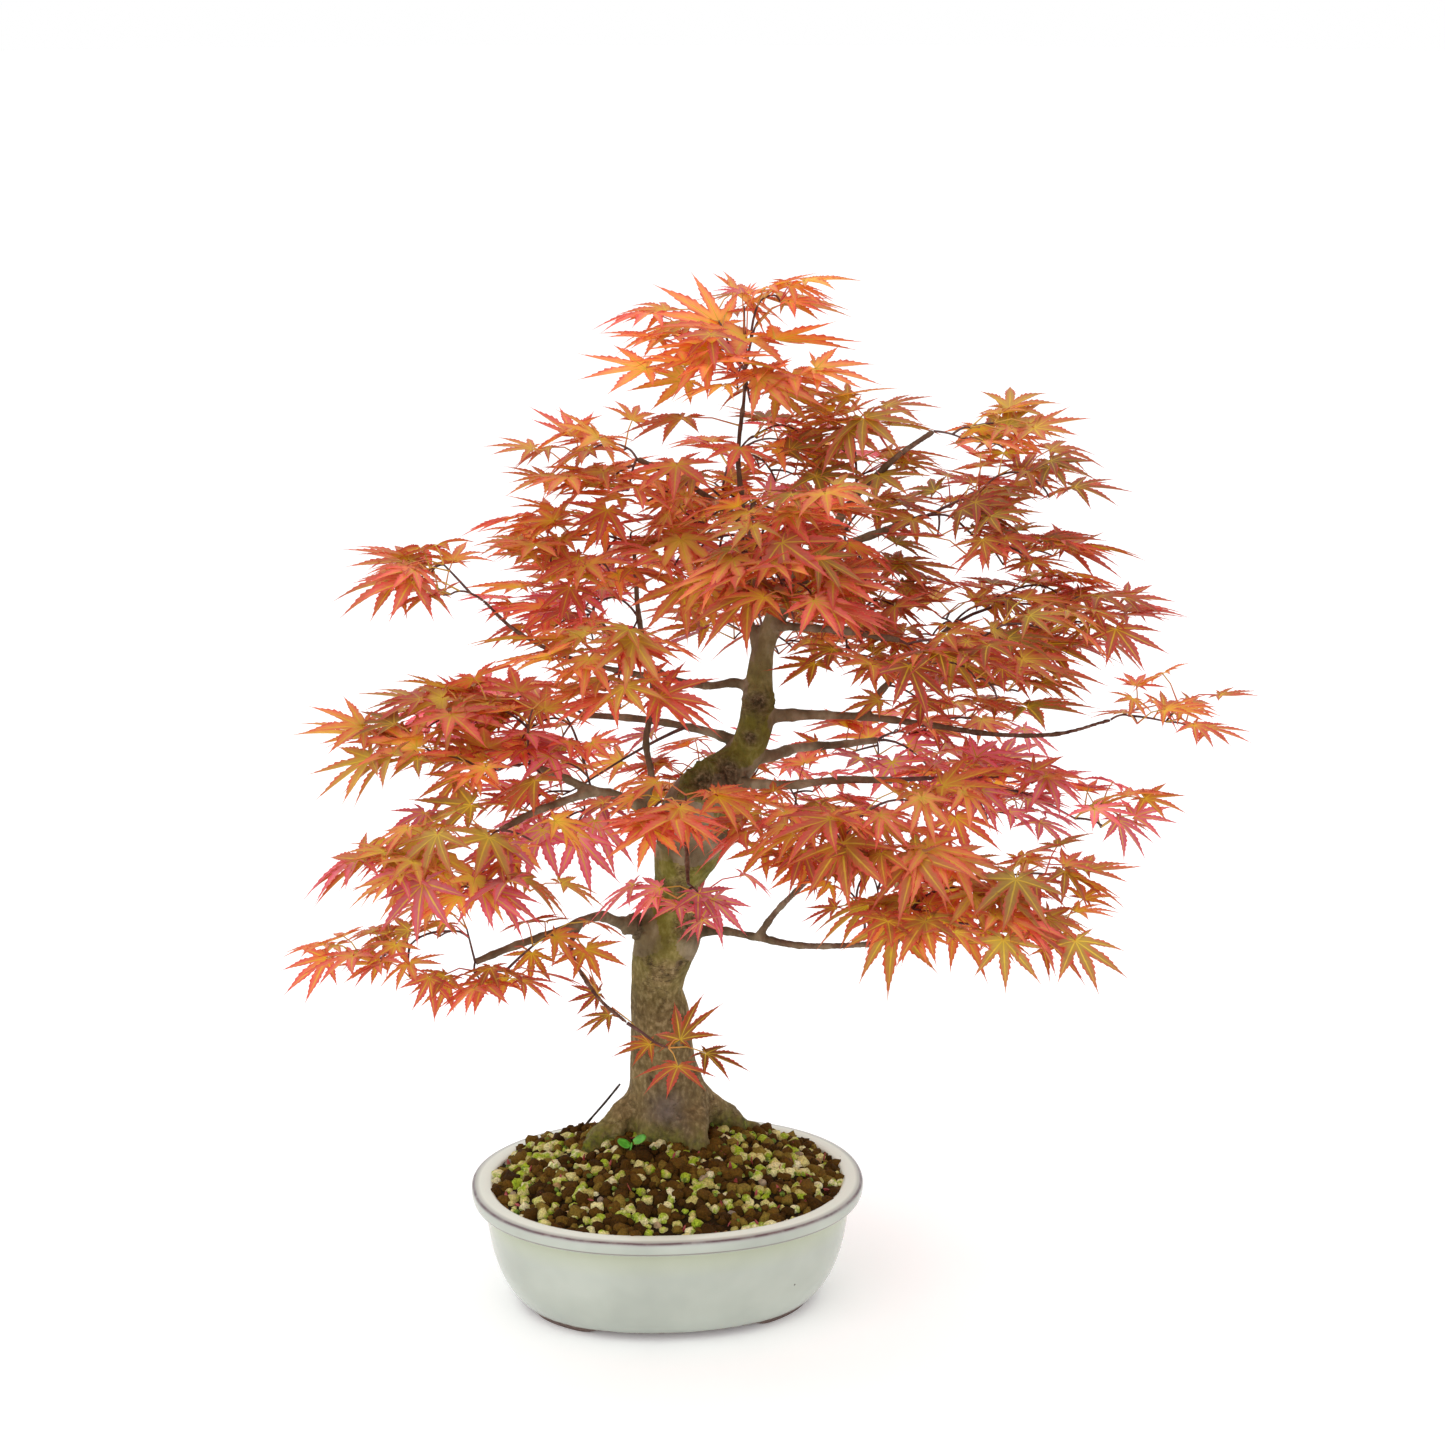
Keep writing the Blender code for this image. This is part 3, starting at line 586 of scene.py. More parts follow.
def scatter_tree():
    """Grains over the faces marked as top, each point taking part only if its draw is in this share."""
    inputs = (("Grains", "Collection"), ("Spacing", "Float"), ("From", "Float"), ("To", "Float"))
    inputs += (("Smallest", "Float"), ("Largest", "Float"), ("Seed", "Int"), ("Material", "Material"))
    tree, given = new_geometry_tree("scatter_grains", inputs)
    links = {"Mesh": given["Geometry"], "Selection": compared(named(tree, "top"), "GREATER_THAN", 0.5)}
    links |= {"Distance Min": given["Spacing"], "Density Max": 200000.0, "Seed": given["Seed"]}
    spread = add(tree, "GeometryNodeDistributePointsOnFaces", links, distribute_method="POISSON").outputs[0]
    lot = draw(tree, 0.0, 1.0, 11)
    limits = {0: compared(lot, "GREATER_EQUAL", given["From"]), 1: compared(lot, "LESS_THAN", given["To"])}
    here = add(tree, "FunctionNodeBooleanMath", limits, operation="AND").outputs[0]
    full_turn = {0: (0, 0, 0), 1: (math.tau, math.tau, math.tau), "Seed": 12}
    turn = add(tree, "FunctionNodeRandomValue", full_turn, data_type="FLOAT_VECTOR").outputs[0]
    which = add(tree, "FunctionNodeRandomValue", {4: 0, 5: 30, "Seed": 14}, data_type="INT").outputs[2]
    size = draw(tree, given["Smallest"], given["Largest"], 13)
    placed = on_points(tree, spread, given["Grains"], which, turn, size, Selection=here)
    keep = {"Geometry": placed, "Name": "tint", "Value": draw(tree, 0.0, 1.0, 15)}
    tinted = add(tree, "GeometryNodeStoreNamedAttribute", keep, domain="INSTANCE", data_type="FLOAT")
    return finish_geometry_tree(tree, tinted.outputs[0], given["Material"])


def screen_tree():
    """Two layers of crossed strands: a square of plastic mesh."""
    inputs = (("Strands", "Int"), ("Side", "Float"), ("Thickness", "Float"), ("Material", "Material"))
    tree, given = new_geometry_tree("weave_screen", inputs)
    pitch = maths("DIVIDE", given["Side"], minus(given["Strands"], 1.0))
    half = times(given["Side"], -0.5)
    joined = add(tree, "GeometryNodeJoinGeometry")
    for axis in (0, 1):
        start = add(tree, "ShaderNodeCombineXYZ", {axis: half}).outputs[0]
        stride = add(tree, "ShaderNodeCombineXYZ", {axis: pitch}).outputs[0]
        links = {"Count": given["Strands"], "Start Location": start, "Offset": stride}
        line = add(tree, "GeometryNodeMeshLine", links).outputs[0]
        sizes = {axis: given["Thickness"], 1 - axis: given["Side"], 2: given["Thickness"]}
        bar = add(tree, "GeometryNodeMeshCube", {"Size": add(tree, "ShaderNodeCombineXYZ", sizes).outputs[0]})
        bars = add(tree, "GeometryNodeInstanceOnPoints", {"Points": line, "Instance": bar.outputs[0]})
        links = {"Geometry": bars.outputs[0], "Translation": (0, 0, 0.3 * MM * (1 - 2 * axis))}
        moved = add(tree, "GeometryNodeTransform", links).outputs[0]
        tree.links.new(moved, joined.inputs[0])
    return finish_geometry_tree(tree, joined.outputs[0], given["Material"])


# ---- Materials ----
SEEN_THROUGH = 0.42  # the share of a leaf's light that comes through it


def maple_leaf_material():
    """Thin living leaf, waxy cuticle over veined tissue: satin, glowing where light comes through it, with a
    yellow heart, pale midribs, darker fine veins and a redder toothed margin."""
    mat, tree = new_material("maple_leaf_tissue")
    blade = attribute(tree, "blade", "Color")
    heart = attribute(tree, "heart", "Color")
    uv = add(tree, "ShaderNodeUVMap", uv_map="leaf").outputs[0]
    split = add(tree, "ShaderNodeSeparateXYZ", {0: uv})
    across = maths("ABSOLUTE", minus(times(split.outputs[0], 2.0), 1.0))
    along = split.outputs[1]
    blotch = noise_of(tree, 9, detail=3)
    in_heart = remap(along, 0.42, 0.04)
    beside_rib = times(remap(across, 0.8, 0.0, 0.0, 0.5), remap(along, 0.95, 0.3))
    glow = maths("MAXIMUM", in_heart, beside_rib)
    glow = times(glow, remap(blotch, 0.25, 0.7, 0.5, 1.0))
    colour = mixed(glow, blade, heart)
    wave = maths("SINE", times(minus(times(along, 9.0), times(across, 1.6)), math.tau))
    side_vein = times(remap(wave, 0.72, 1.0), 0.3)
    colour = mixed(side_vein, colour, heart)
    rib = times(remap(across, 0.2, 0.05), remap(along, 1.0, 0.3, 0.2, 0.95))
    colour = mixed(rib, colour, "#dcc04a")
    margin = times(remap(across, 0.62, 1.0), remap(along, 0.1, 0.35, 0.1, 0.8))
    tip = remap(along, 0.55, 1.0, 0.0, 0.6)
    colour = mixed(maths("MAXIMUM", margin, tip), colour, "#cf524a")
    shade = remap(noise_of(tree, 30, detail=2), 0.3, 0.7, 0.86, 1.1)
    lit = adjusted(colour, value=shade)
    height = plus(times(rib, 0.8), times(side_vein, 0.6))
    front = opaque(lit, 0.46, relief(height, 0.35, 0.0006), ior=1.45)
    warm = adjusted(lit, saturation=1.08, value=1.25)
    through = add(tree, "ShaderNodeBsdfTranslucent", {"Color": warm}).outputs[0]
    both = add(tree, "ShaderNodeMixShader", {0: SEEN_THROUGH, 1: front, 2: through}).outputs[0]
    return finish_material(mat, both)


def bark_material():
    """Old maple bark, smooth and tight: matt grey-brown with fine stretch lines, olive where the green layer
    shows, rough dark tissue at cuts, moss at the foot, and dark red-brown on thin young wood."""
    mat, tree = new_material("maple_bark_living")
    girth = attribute(tree, "girth")
    scar = attribute(tree, "scar")
    moss = attribute(tree, "moss")
    height_share = attribute(tree, "height")
    fine = noise_of(tree, 2.6, stretch=(1, 1, 0.7), detail=6)
    broad = noise_of(tree, 16, stretch=(1, 1, 0.7), detail=4)
    patch = noise_of(tree, 22, stretch=(1, 1, 0.6), detail=3)
    old = ramp(fine, ((0.32, "#443419"), (0.43, "#6a5536"), (0.55, "#8a734e"), (0.64, "#ad966e")))
    stain = ramp(broad, ((0.34, "#4a3a20"), (0.48, "#6f5b3b"), (0.62, "#947d54")))
    old = mixed(0.4, old, stain)
    purple = ramp(noise_of(tree, 11, detail=5), ((0.35, "#3e3330"), (0.65, "#7a6a66")))
    old = mixed(attribute(tree, "stain"), old, purple)
    smooth = plus(times(broad, 0.65), times(fine, 0.35))
    olive = ramp(smooth, ((0.34, "#4d470f"), (0.5, "#6d6622"), (0.64, "#8d8444")))
    green = times(remap(patch, 0.3, 0.5), height_share)
    old = mixed(green, old, olive)
    wrinkle = maths("ABSOLUTE", minus(noise_of(tree, 8, stretch=(1, 1, 2.2), detail=5), 0.5))
    cracks = times(remap(wrinkle, 0.016, 0.004), remap(patch, 0.52, 0.4, 0.1, 0.75))
    old = mixed(cracks, old, "#33271a")
    young = ramp(fine, ((0.3, "#43271f"), (0.55, "#6a4638"), (0.75, "#8c7060")))
    middle = ramp(broad, ((0.32, "#54452f"), (0.5, "#7c6a50"), (0.66, "#9c8c72")))
    wood = mixed(remap(girth, 1.3, 2.6), young, middle)
    wood = mixed(remap(girth, 4.5, 9.0), wood, old)
    callus = noise_of(tree, 2.6, detail=7, roughness=0.7)
    torn = ramp(callus, ((0.34, "#20150b"), (0.48, "#4c3a26"), (0.66, "#8c765a")))
    wood = mixed(times(scar, 0.9), wood, torn)
    mossy = ramp(noise_of(tree, 3, detail=6), ((0.3, "#2f3a12"), (0.6, "#75791f"), (0.8, "#8e8c3c")))
    on_moss = times(moss, remap(broad, 0.38, 0.6))
    wood = mixed(on_moss, wood, mossy)
    lines = noise_of(tree, 1.6, stretch=(1, 1, 0.5), detail=6, roughness=0.65)
    height = minus(plus(lines, times(cells(tree, 2.2), 0.25)), times(cracks, 0.7))
    return finish_material(mat, opaque(wood, 0.82, relief(height, 0.7, 0.001), specular=0.25))


def twig_material():
    """This year's maple wood: smooth, slightly glossy, purple-brown with paler patches."""
    mat, tree = new_material("maple_twig_bark")
    tone = ramp(noise_of(tree, 5, detail=4), ((0.3, "#3a1c1a"), (0.55, "#5c3026"), (0.78, "#84604c")))
    return finish_material(mat, opaque(tone, 0.55, relief(noise_of(tree, 1, detail=3), 0.3, 0.0003)))


def stalk_material():
    """Leaf stalks: juicy and smooth, yellow-green running to red."""
    mat, tree = new_material("maple_leaf_stalk")
    tone = ramp(noise_of(tree, 22, detail=1), ((0.35, "#c9a83a"), (0.5, "#d08a3c"), (0.68, "#c2453c")))
    return finish_material(mat, opaque(tone, 0.45))


def glaze_material():
    """Celadon glaze fired on stoneware: a thick glassy pale grey-green coat, paler on the rim's top, and
    purple-brown where it ran thin on the edges, a grey line at the lip's lower edge that is partly thin glaze
    and partly painted shadow under the lip, and rare pinholes, over bare brown clay at the feet."""
    mat, tree = new_material("celadon_glaze_on_stoneware")
    along = attribute(tree, "along")
    low = attribute(tree, "foot")
    cloud = noise_of(tree, 45, detail=3)
    coat = ramp(cloud, ((0.3, "#a7ada3"), (0.5, "#b0b6ab"), (0.7, "#b8beb3")))
    # Paler towards the rim's top
    coat = mixed(remap(along, 5.0, 2.0), coat, "#e3eadd")
    under_band = times(remap(along, 20.0, 22.0), remap(along, 36.0, 22.0))
    coat = mixed(times(under_band, 0.45), coat, "#bcc29a")
    wobble = times(minus(noise_of(tree, 30, detail=3), 0.5), 1.2)
    edge_at = plus(minus(along, EDGE_ALONG), wobble)
    edge_distance = maths("ABSOLUTE", edge_at)
    thin = remap(edge_distance, 1.3, 0.2)
    thin = times(thin, remap(noise_of(tree, 9, detail=4), 0.3, 0.55, 0.45, 0.95))
    halo = times(remap(edge_distance, 2.6, 0.6), 0.25)
    coat = mixed(halo, coat, "#a08c98")
    coat = mixed(thin, coat, "#5f4a50")
    # The grey line at the lip's lower edge: partly glaze run thin there, partly painted shadow under the
    # lip's overhang
    band_distance = maths("ABSOLUTE", minus(along, BAND_ALONG))
    line = times(remap(band_distance, 0.9, 0.3), 0.85)
    coat = mixed(line, coat, "#7d7670")
    hole = remap(cells(tree, 34), 0.02, 0.012)
    coat = mixed(hole, coat, "#2b2522")
    ragged = plus(low, times(minus(noise_of(tree, 6), 0.5), 2.4))
    bare = remap(ragged, 4.8, 3.9)
    clay = ramp(noise_of(tree, 2, detail=5), ((0.3, "#4a3a33"), (0.6, "#6e5850"), (0.8, "#8a7468")))
    colour = mixed(bare, coat, clay)
    rough = remap(bare, 0, 1, 0.16, 0.8)
    ripple = plus(noise_of(tree, 18, detail=2), times(hole, -0.4))
    return finish_material(mat, opaque(colour, rough, relief(ripple, 0.12, 0.001)))


def grain_material(name, stops, algae=0.0, grit_mm=1.2):
    """Baked clay or volcanic grains: porous and matt, each a little different, with algae on pale ones."""
    mat, tree = new_material(name)
    speck = noise_of(tree, grit_mm, detail=6, roughness=0.7)
    colour = adjusted(ramp(attribute(tree, "tint"), stops), value=remap(speck, 0.32, 0.64, 0.5, 1.35))
    if algae:
        where = remap(noise_of(tree, 7, detail=3), 0.47, 0.57, 0.0, algae)
        green = ramp(speck, ((0.3, "#5e7a08"), (0.55, "#a8c41e"), (0.75, "#d2de5a")))
        colour = mixed(where, colour, green)
    pitted = relief(plus(speck, times(cells(tree, 1.1), 0.6)), 0.9, 0.0009)
    return finish_material(mat, opaque(colour, 0.95, pitted, specular=0.15))


def plain_natural(name, stops, size_mm, roughness):
    """A small natural thing with mottled colour and a little relief."""
    mat, tree = new_material(name)
    pattern = noise_of(tree, size_mm, detail=4)
    return finish_material(mat, opaque(ramp(pattern, stops), roughness, relief(pattern, 0.4, 0.0004)))


# ---- Pot ----
# The pot's section as (half length, height) in mm, from the floor's middle over the rim to the underside's.
# A point given twice keeps a tight edge when the surface is subdivided.
POT_SECTION = (
    (0, 8.8), (30, 8.8), (60, 8.8), (72, 9), (79, 11), (85, 18), (91, 32), (94.4, 46), (96.2, 58),
    (97.2, 65), (98.2, 68.8), (99.6, 70), (103.4, 70), (107.4, 69.7), (109.1, 69.2), (109.9, 68.3),
    (110, 66.8), (109.8, 64.6), (109.2, 62.4), (108, 61.2), (105.6, 60.7), (103.2, 60.6), (102.4, 60.1),
    (102.2, 58.6), (101.8, 52), (100.9, 44), (99.6, 36), (97.6, 28), (94.6, 19.5), (90.6, 12),
    (86.4, 6.6), (83, 3.2), (81.6, 1.2), (81, 0.2), (80.4, 0), (76, 0), (71.6, 0), (71.1, 0.3),
    (70.9, 1.6), (70.6, 3.3), (69.6, 3.5), (40, 3.5), (0, 3.5),
)
EDGE_POINT = 14  # the outer edge of the rim's top
BAND_POINT = 18  # the lower edge of the band
OVAL_STEPS = 72
FOOT_CUT_LONG, FOOT_CUT_SHORT, FOOT_HEIGHT = 92, 46, 3.4
SCREENS = ("drain_screen_left", "drain_screen_right")
DRAIN_RADIUS = 8 * MM


def section_lengths():
    """How far along the section each of its points is, in mm."""
    steps = [math.dist(a, b) for a, b in zip(POT_SECTION, POT_SECTION[1:])]
    return np.concatenate([[0], np.cumsum(steps)])


ALONG = section_lengths()
ALONG = ALONG - ALONG[12]
EDGE_ALONG = float(ALONG[EDGE_POINT])
BAND_ALONG = float(ALONG[BAND_POINT])


def oval_point(radius, angle):
    share = min(1, radius / 64.8)
    bend = 2 / OVAL_POWER
    x = math.copysign(abs(math.cos(angle)) ** bend, math.cos(angle)) * radius
    y = math.copysign(abs(math.sin(angle)) ** bend, math.sin(angle)) * (radius - LONGER_BY / MM * share)
    return x, y


def foot_lift(x, y):
    """How much of the foot is cut away here, from 0 on a foot to 1 in an opening between two."""
    long_side = (FOOT_CUT_LONG / 2 - abs(x)) / 5
    short_side = (FOOT_CUT_SHORT / 2 - abs(y)) / 5
    return clipped(max(long_side, short_side) + 0.5)


def build_pot(mat):
    points, faces, along, rows = [], [], [], []
    for (radius, height), distance in zip(POT_SECTION, ALONG):
        rows.append(list(range(len(points), len(points) + (OVAL_STEPS if radius else 1))))
        for k in range(OVAL_STEPS if radius else 1):
            x, y = oval_point(radius, math.tau * k / OVAL_STEPS)
            z = height
            if height < FOOT_HEIGHT and radius > 70:
                z += (FOOT_HEIGHT - height) * foot_lift(x, y)
            points.append(POT_CENTRE + Vector((x, y, z)) * MM)
            along.append(distance)
    for first, second in zip(rows, rows[1:]):
        if len(first) == 1:
            faces += fan_faces(first[0], second)
        elif len(second) == 1:
            faces += [(b, a, second[0]) for a, b in zip(first, turned(first))]
        else:
            faces += ring_faces(first, second)
    pot = add_shape("glazed_pot", points, faces)
    set_floats(pot.data, "along", along)
    round_off = pot.modifiers.new("round_off", "SUBSURF")
    round_off.levels = round_off.render_levels = 2
    applied(pot)
    for node in SCREENS:
        drill = drain_drill(middle_and_half(*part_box(node))[0])
        cut = pot.modifiers.new("drain", "BOOLEAN")
        cut.object = drill
        applied(pot)
        bpy.data.objects.remove(drill, do_unlink=True)
    set_floats(pot.data, "foot", points_of(pot.data)[:, 2] / MM)
    coat(pot, mat)
    into_frame(pot, "celadon_glaze", "pot")


def drain_drill(centre):
    bm = bmesh.new()
    round_bar = {"segments": 48, "radius1": DRAIN_RADIUS, "radius2": DRAIN_RADIUS, "depth": 30 * MM}
    bmesh.ops.create_cone(bm, cap_ends=True, **round_bar)
    drill = add_object("drain_drill", from_bmesh("drain_drill", bm))
    drill.location = (centre.x, centre.y, POT_CENTRE.z + 4 * MM)
    return drill


def build_screens(mat):
    tree = screen_tree()
    for name in SCREENS:
        centre, half = middle_and_half(*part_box(name))
        screen = add_object(name.replace("drain", "woven"), bpy.data.meshes.new(name))
        weave = {"Strands": 12, "Side": 2 * half.x - 1 * MM, "Thickness": 0.6 * MM, "Material": mat}
        grown(screen, tree, weave)
        screen.data.transform(Matrix.Translation(centre))
        into_frame(screen, "screen_plastic", name)


# ---- Soil ----
SOIL_EDGE, SOIL_EDGE_Z, SOIL_CREST_Z = 97.2, 66.2, 85.5
SOIL_CREST = (2, 36)
BACK_RISE = 6  # the grains are heaped against the back of the rim, most at the left
# Down the pot's wall: half length and height
SOIL_SIDE = ((94.4, 52), (90.4, 32), (84.4, 18), (78.4, 11.6), (69.6, 9.4))


def soil_height(share):
    """The mound's height in mm at a share of the way from its crest to the pot's wall."""
    rise = 1 - share
    return SOIL_EDGE_Z + (SOIL_CREST_Z - SOIL_EDGE_Z) * (rise * rise * (3 - 2 * rise)) ** 0.6


def build_soil(bed, akadama, pumice, stone, scale_red, moss):
    """The bed of fines and the grains that lie on it."""
    steps, rings = 96, 30
    points = []
    for i in range(rings + 1):
        share = i / rings
        for k in range(steps if i else 1):
            x, y = oval_point(SOIL_EDGE, math.tau * k / steps)
            x, y = x * share + SOIL_CREST[0] * (1 - share), y * share + SOIL_CREST[1] * (1 - share)
            z = soil_height(share) + 1.1 * noise.noise(Vector((x, y, 0)) * 0.09)
            z += BACK_RISE * share * clipped(y / 55) * (0.65 - 0.35 * x / SOIL_EDGE)
            points.append(POT_CENTRE + Vector((x, y, z)) * MM)
    top_count = len(points)
    for half_length, z in SOIL_SIDE:
        for k in range(steps):
            x, y = oval_point(half_length, math.tau * k / steps)
            points.append(POT_CENTRE + Vector((x, y, z)) * MM)
    loops = [list(range(first, first + steps)) for first in range(1, len(points), steps)]
    faces = fan_faces(0, loops[0])
    for first, second in zip(loops, loops[1:]):
        faces += ring_faces(first, second)
    faces.append(tuple(reversed(loops[-1])))
    body = add_shape("soil_bed", points, faces)
    set_floats(body.data, "top", [1.0 if i < top_count else 0.0 for i in range(len(points))])
    set_floats(body.data, "tint", [0.4] * len(points))
    body.data.shade_smooth()
    crumbs, grit = grain_shapes("akadama_shape", 6, 0.62, 1), grain_shapes("pumice_shape", 5, 0.44, 2)
    pebbles, tufts = grain_shapes("stone_shape", 3, 0.2, 3), grain_shapes("moss_shape", 3, 0.5, 4)
    # Name, shapes, the share of the draws they take, smallest, largest, spacing and lift, seed, material
    families = (
        ("akadama_grains", crumbs, 0.0, 0.58, 1.7, 5.2, 4.1, 0, 5, akadama),
        ("pumice_grains", grit, 0.58, 0.96, 1.6, 4.7, 4.1, 0, 5, pumice),
        ("river_stones", pebbles, 0.96, 1.0, 2.0, 3.4, 4.1, 0, 5, stone),
        ("bud_scales", scale_shapes("scale_shape"), 0.0, 0.5, 0.6, 1.2, 14, 2.2, 21, scale_red),
        ("moss_tufts", tufts, 0.0, 0.35, 0.6, 1.6, 9, 2.2, 22, moss),
    )
    tree = scatter_tree()
    for name, shapes, start, end, smallest, largest, spacing, lift, seed, mat in families:
        grains = add_object(name, body.data.copy())
        values = {"Grains": shapes, "From": start, "To": end, "Seed": seed, "Material": mat}
        values |= {"Spacing": spacing * MM, "Smallest": smallest * MM, "Largest": largest * MM}
        grown(grains, tree, values)
        grains.data.transform(Matrix.Translation((0, 0, lift * MM)))
        into_frame(grains, "akadama_soil")
    body.data.materials.append(bed)
    into_frame(body, "akadama_soil", "soil")


def collection_of(name, meshes):
    """The meshes as objects of a collection that the scene doesn't show."""
    shapes = bpy.data.collections.new(name)
    for i, mesh in enumerate(meshes):
        shapes.objects.link(bpy.data.objects.new(f"{name}_{i}", mesh))
    return shapes


def grain_shapes(name, count, roughness, seed):
    """Broken grains of unit size, each a knocked-about ball."""
    rng = np.random.default_rng(seed)
    meshes = []
    for i in range(count):
        bm = bmesh.new()
        bmesh.ops.create_icosphere(bm, subdivisions=2, radius=1)
        stretch = Vector(rng.uniform(0.72, 1.15, 3))
        shift = Vector(rng.uniform(-9, 9, 3))
        for vertex in bm.verts:
            lump = noise.noise(vertex.co * 1.3 + shift) + 0.3 * noise.noise(vertex.co * 3 + shift)
            vertex.co = Vector(vertex.co[k] * stretch[k] * (1 + roughness * lump) for k in range(3))
        meshes.append(from_bmesh(f"{name}_{i}", bm))
        meshes[-1].shade_smooth()
    return collection_of(name, meshes)


def scale_shapes(name):
    """Curled bud scales, five times as long as wide."""
    meshes = []
    for i, bend in enumerate((0.7, -0.5, 1.1)):
        points, faces = [], []
        for k in range(6):
            t = k / 5
            width = 0.9 * math.sin(math.pi * (0.08 + 0.84 * t))
            x, z = (t - 0.5) * 6, bend * (t - 0.5) ** 2 * 4
            points += [(x, -width, z), (x, width, z), (x, width, z + 0.35), (x, -width, z + 0.35)]
        for a in range(0, 20, 4):
            faces += [(a + m, a + (m + 1) % 4, a + 4 + (m + 1) % 4, a + 4 + m) for m in range(4)]
        faces += [(3, 2, 1, 0), (20, 21, 22, 23)]
        meshes.append(mesh_from(f"{name}_{i}", points, faces))
    return collection_of(name, meshes)


# ---- Wood ----
SKIN_SIZE = 1.12 * MM
THICK_WOOD = 4  # the radius in mm from which wood is fluted at the foot and holds moss
FLARE_TOP, MOSS_TOP, OLIVE_FROM = 132, 99, 150  # heights of the root flare, the moss and the olive bark


def with_joints(path, rng):
    """Slight swellings at the joints of a branch, as maples have at each old pair of buds."""
    path = path.copy()
    travelled = np.concatenate([[0], np.cumsum(np.linalg.norm(np.diff(path[:, :3], axis=0), axis=1))])
    slim = 0.64 + 0.24 * np.clip((3.4 - path[:, 3]) / 1.6, 0, 1)
    path[:, 3] *= slim + 0.4 * np.exp(-travelled / 9)
    place = rng.uniform(8, 20)
    while place < travelled[-1]:
        near = np.exp(-(((travelled - place) / 2.2) ** 2))
        path[:, 3] *= 1 + 0.22 * near
        place += rng.uniform(14, 30)
    return path


def build_wood(mat):
    """Trunk, surface roots and branches as one grown skin, then bark, knots and healed cuts on it."""
    rng = np.random.default_rng(WOOD_SEED)
    paths = [smooth_path(TRUNK, 3)]
    paths += [smooth_path(root, 3) for root in ROOTS]
    for stations in BRANCHES.values():
        paths.append(with_joints(smooth_path(stations, 3), rng))
    points, faces = [], []
    for path in paths:
        new_points, new_faces = tube(path, 20)
        faces += [tuple(i + len(points) for i in face) for face in new_faces]
        points += [in_tree(p) for p in new_points]
    wood = add_shape("maple_wood", points, faces)
    skin = wood.modifiers.new("grow_together", "REMESH")
    skin.mode = "VOXEL"
    skin.voxel_size = SKIN_SIZE
    skin.use_smooth_shade = True
    soften = wood.modifiers.new("soften", "SMOOTH")
    soften.factor = 0.5
    soften.iterations = 3
    applied(wood)
    carve_bark(wood, paths)
    coat(wood, mat)
    into_frame(wood, "maple_bark", "trunk", *("branch_" + name for name in BRANCHES))


def streaks(mm, across, along, shift=0):
    """Noise drawn out up the trunk."""
    return noise.noise(Vector((mm.x * across, mm.y * across, mm.z * along + shift)))


def carve_bark(wood, paths):
    """Moves the skin in and out for ridges, lumps and scars, and marks girth, scars, moss and height."""
    mesh = wood.data
    samples = np.vstack(paths)
    tree = kdtree.KDTree(len(samples))
    for i, sample in enumerate(samples):
        tree.insert(in_tree(sample[:3]), i)
    tree.balance()
    scars = [(in_tree(centre), ring * MM, rise * MM, depth * MM) for centre, ring, rise, depth in SCARS]
    count = len(mesh.vertices)
    girth, scar_mask, moss, height, stain = (np.zeros(count) for _ in range(5))
    moved = points_of(mesh)
    normals = np.empty(count * 3, np.float32)
    mesh.vertices.foreach_get("normal", normals)
    normals = normals.reshape(-1, 3)
    for i in range(count):
        place = Vector(moved[i])
        nearest = tree.find_n(place, 3)
        radius = max(samples[n[1]][3] for n in nearest)
        girth[i] = radius
        mm = place / MM
        lump = noise.noise(mm * 0.06 + Vector((5, 1, 8)))
        rise = 0.03 * streaks(mm, 0.32, 0.07) + 0.06 * lump + 0.016 * streaks(mm, 0.8, 0.25)
        push = min(radius, 14) * rise
        low = clipped((FLARE_TOP - mm.z) / 45)
        if radius > THICK_WOOD:
            fissure = max(0, 0.5 - abs(streaks(mm, 0.34, 0.045, 9)) * 4)
            push += low * (4.4 * streaks(mm, 0.11, 0.02, 3) - 0.9 * fissure)
        push *= MM
        for centre, ring, rise, depth in scars:
            away = (place - centre).length
            if away < ring * 2.2:
                rough = 1 + 1.3 * noise.noise(mm * 0.42)
                push += rise * rough * math.exp(-(((away - ring) / (0.3 * ring)) ** 2))
                push -= depth * rough * math.exp(-((away / (0.55 * ring)) ** 2))
                scar_mask[i] = max(scar_mask[i], min(1, 1.5 * math.exp(-((away / (0.78 * ring)) ** 2))))
        moved[i] += normals[i] * push
        stain[i] = math.exp(-(((mm - STAIN) / 13).length ** 2))
        moss[i] = clipped((MOSS_TOP - mm.z) / 14) * (radius > THICK_WOOD)
        height[i] = max(0.12, clipped((mm.z - OLIVE_FROM) / 70))
    mesh.vertices.foreach_set("co", moved.astype(np.float32).ravel())
    mesh.update()
    marks = {"girth": girth, "scar": scar_mask, "moss": moss, "height": height, "stain": stain}
    for name, values in marks.items():
        set_floats(mesh, name, values)


# ---- Leaves ----
# Each lobe: its angle from the middle one, its length against the middle one's, and its width
LOBES = (
    (0, 1.06, 1.0), (36, 1.0, 1.0), (-36, 1.0, 1.0), (74, 0.82, 0.98), (-74, 0.82, 0.98), (122, 0.44, 0.8),
    (-122, 0.44, 0.8),
)
SINUS = 0.25  # how far out the blade is whole, as a share of the middle lobe
# Half the lobe's width at shares of its length: the teeth of a side, each a point and the notch above it
LOBE_EDGE = (
    (0.34, 0.088), (0.36, 0.074), (0.44, 0.102), (0.465, 0.078), (0.54, 0.094), (0.565, 0.066),
    (0.64, 0.068), (0.66, 0.046), (0.735, 0.042), (0.755, 0.026), (0.84, 0.019), (0.86, 0.009),
)


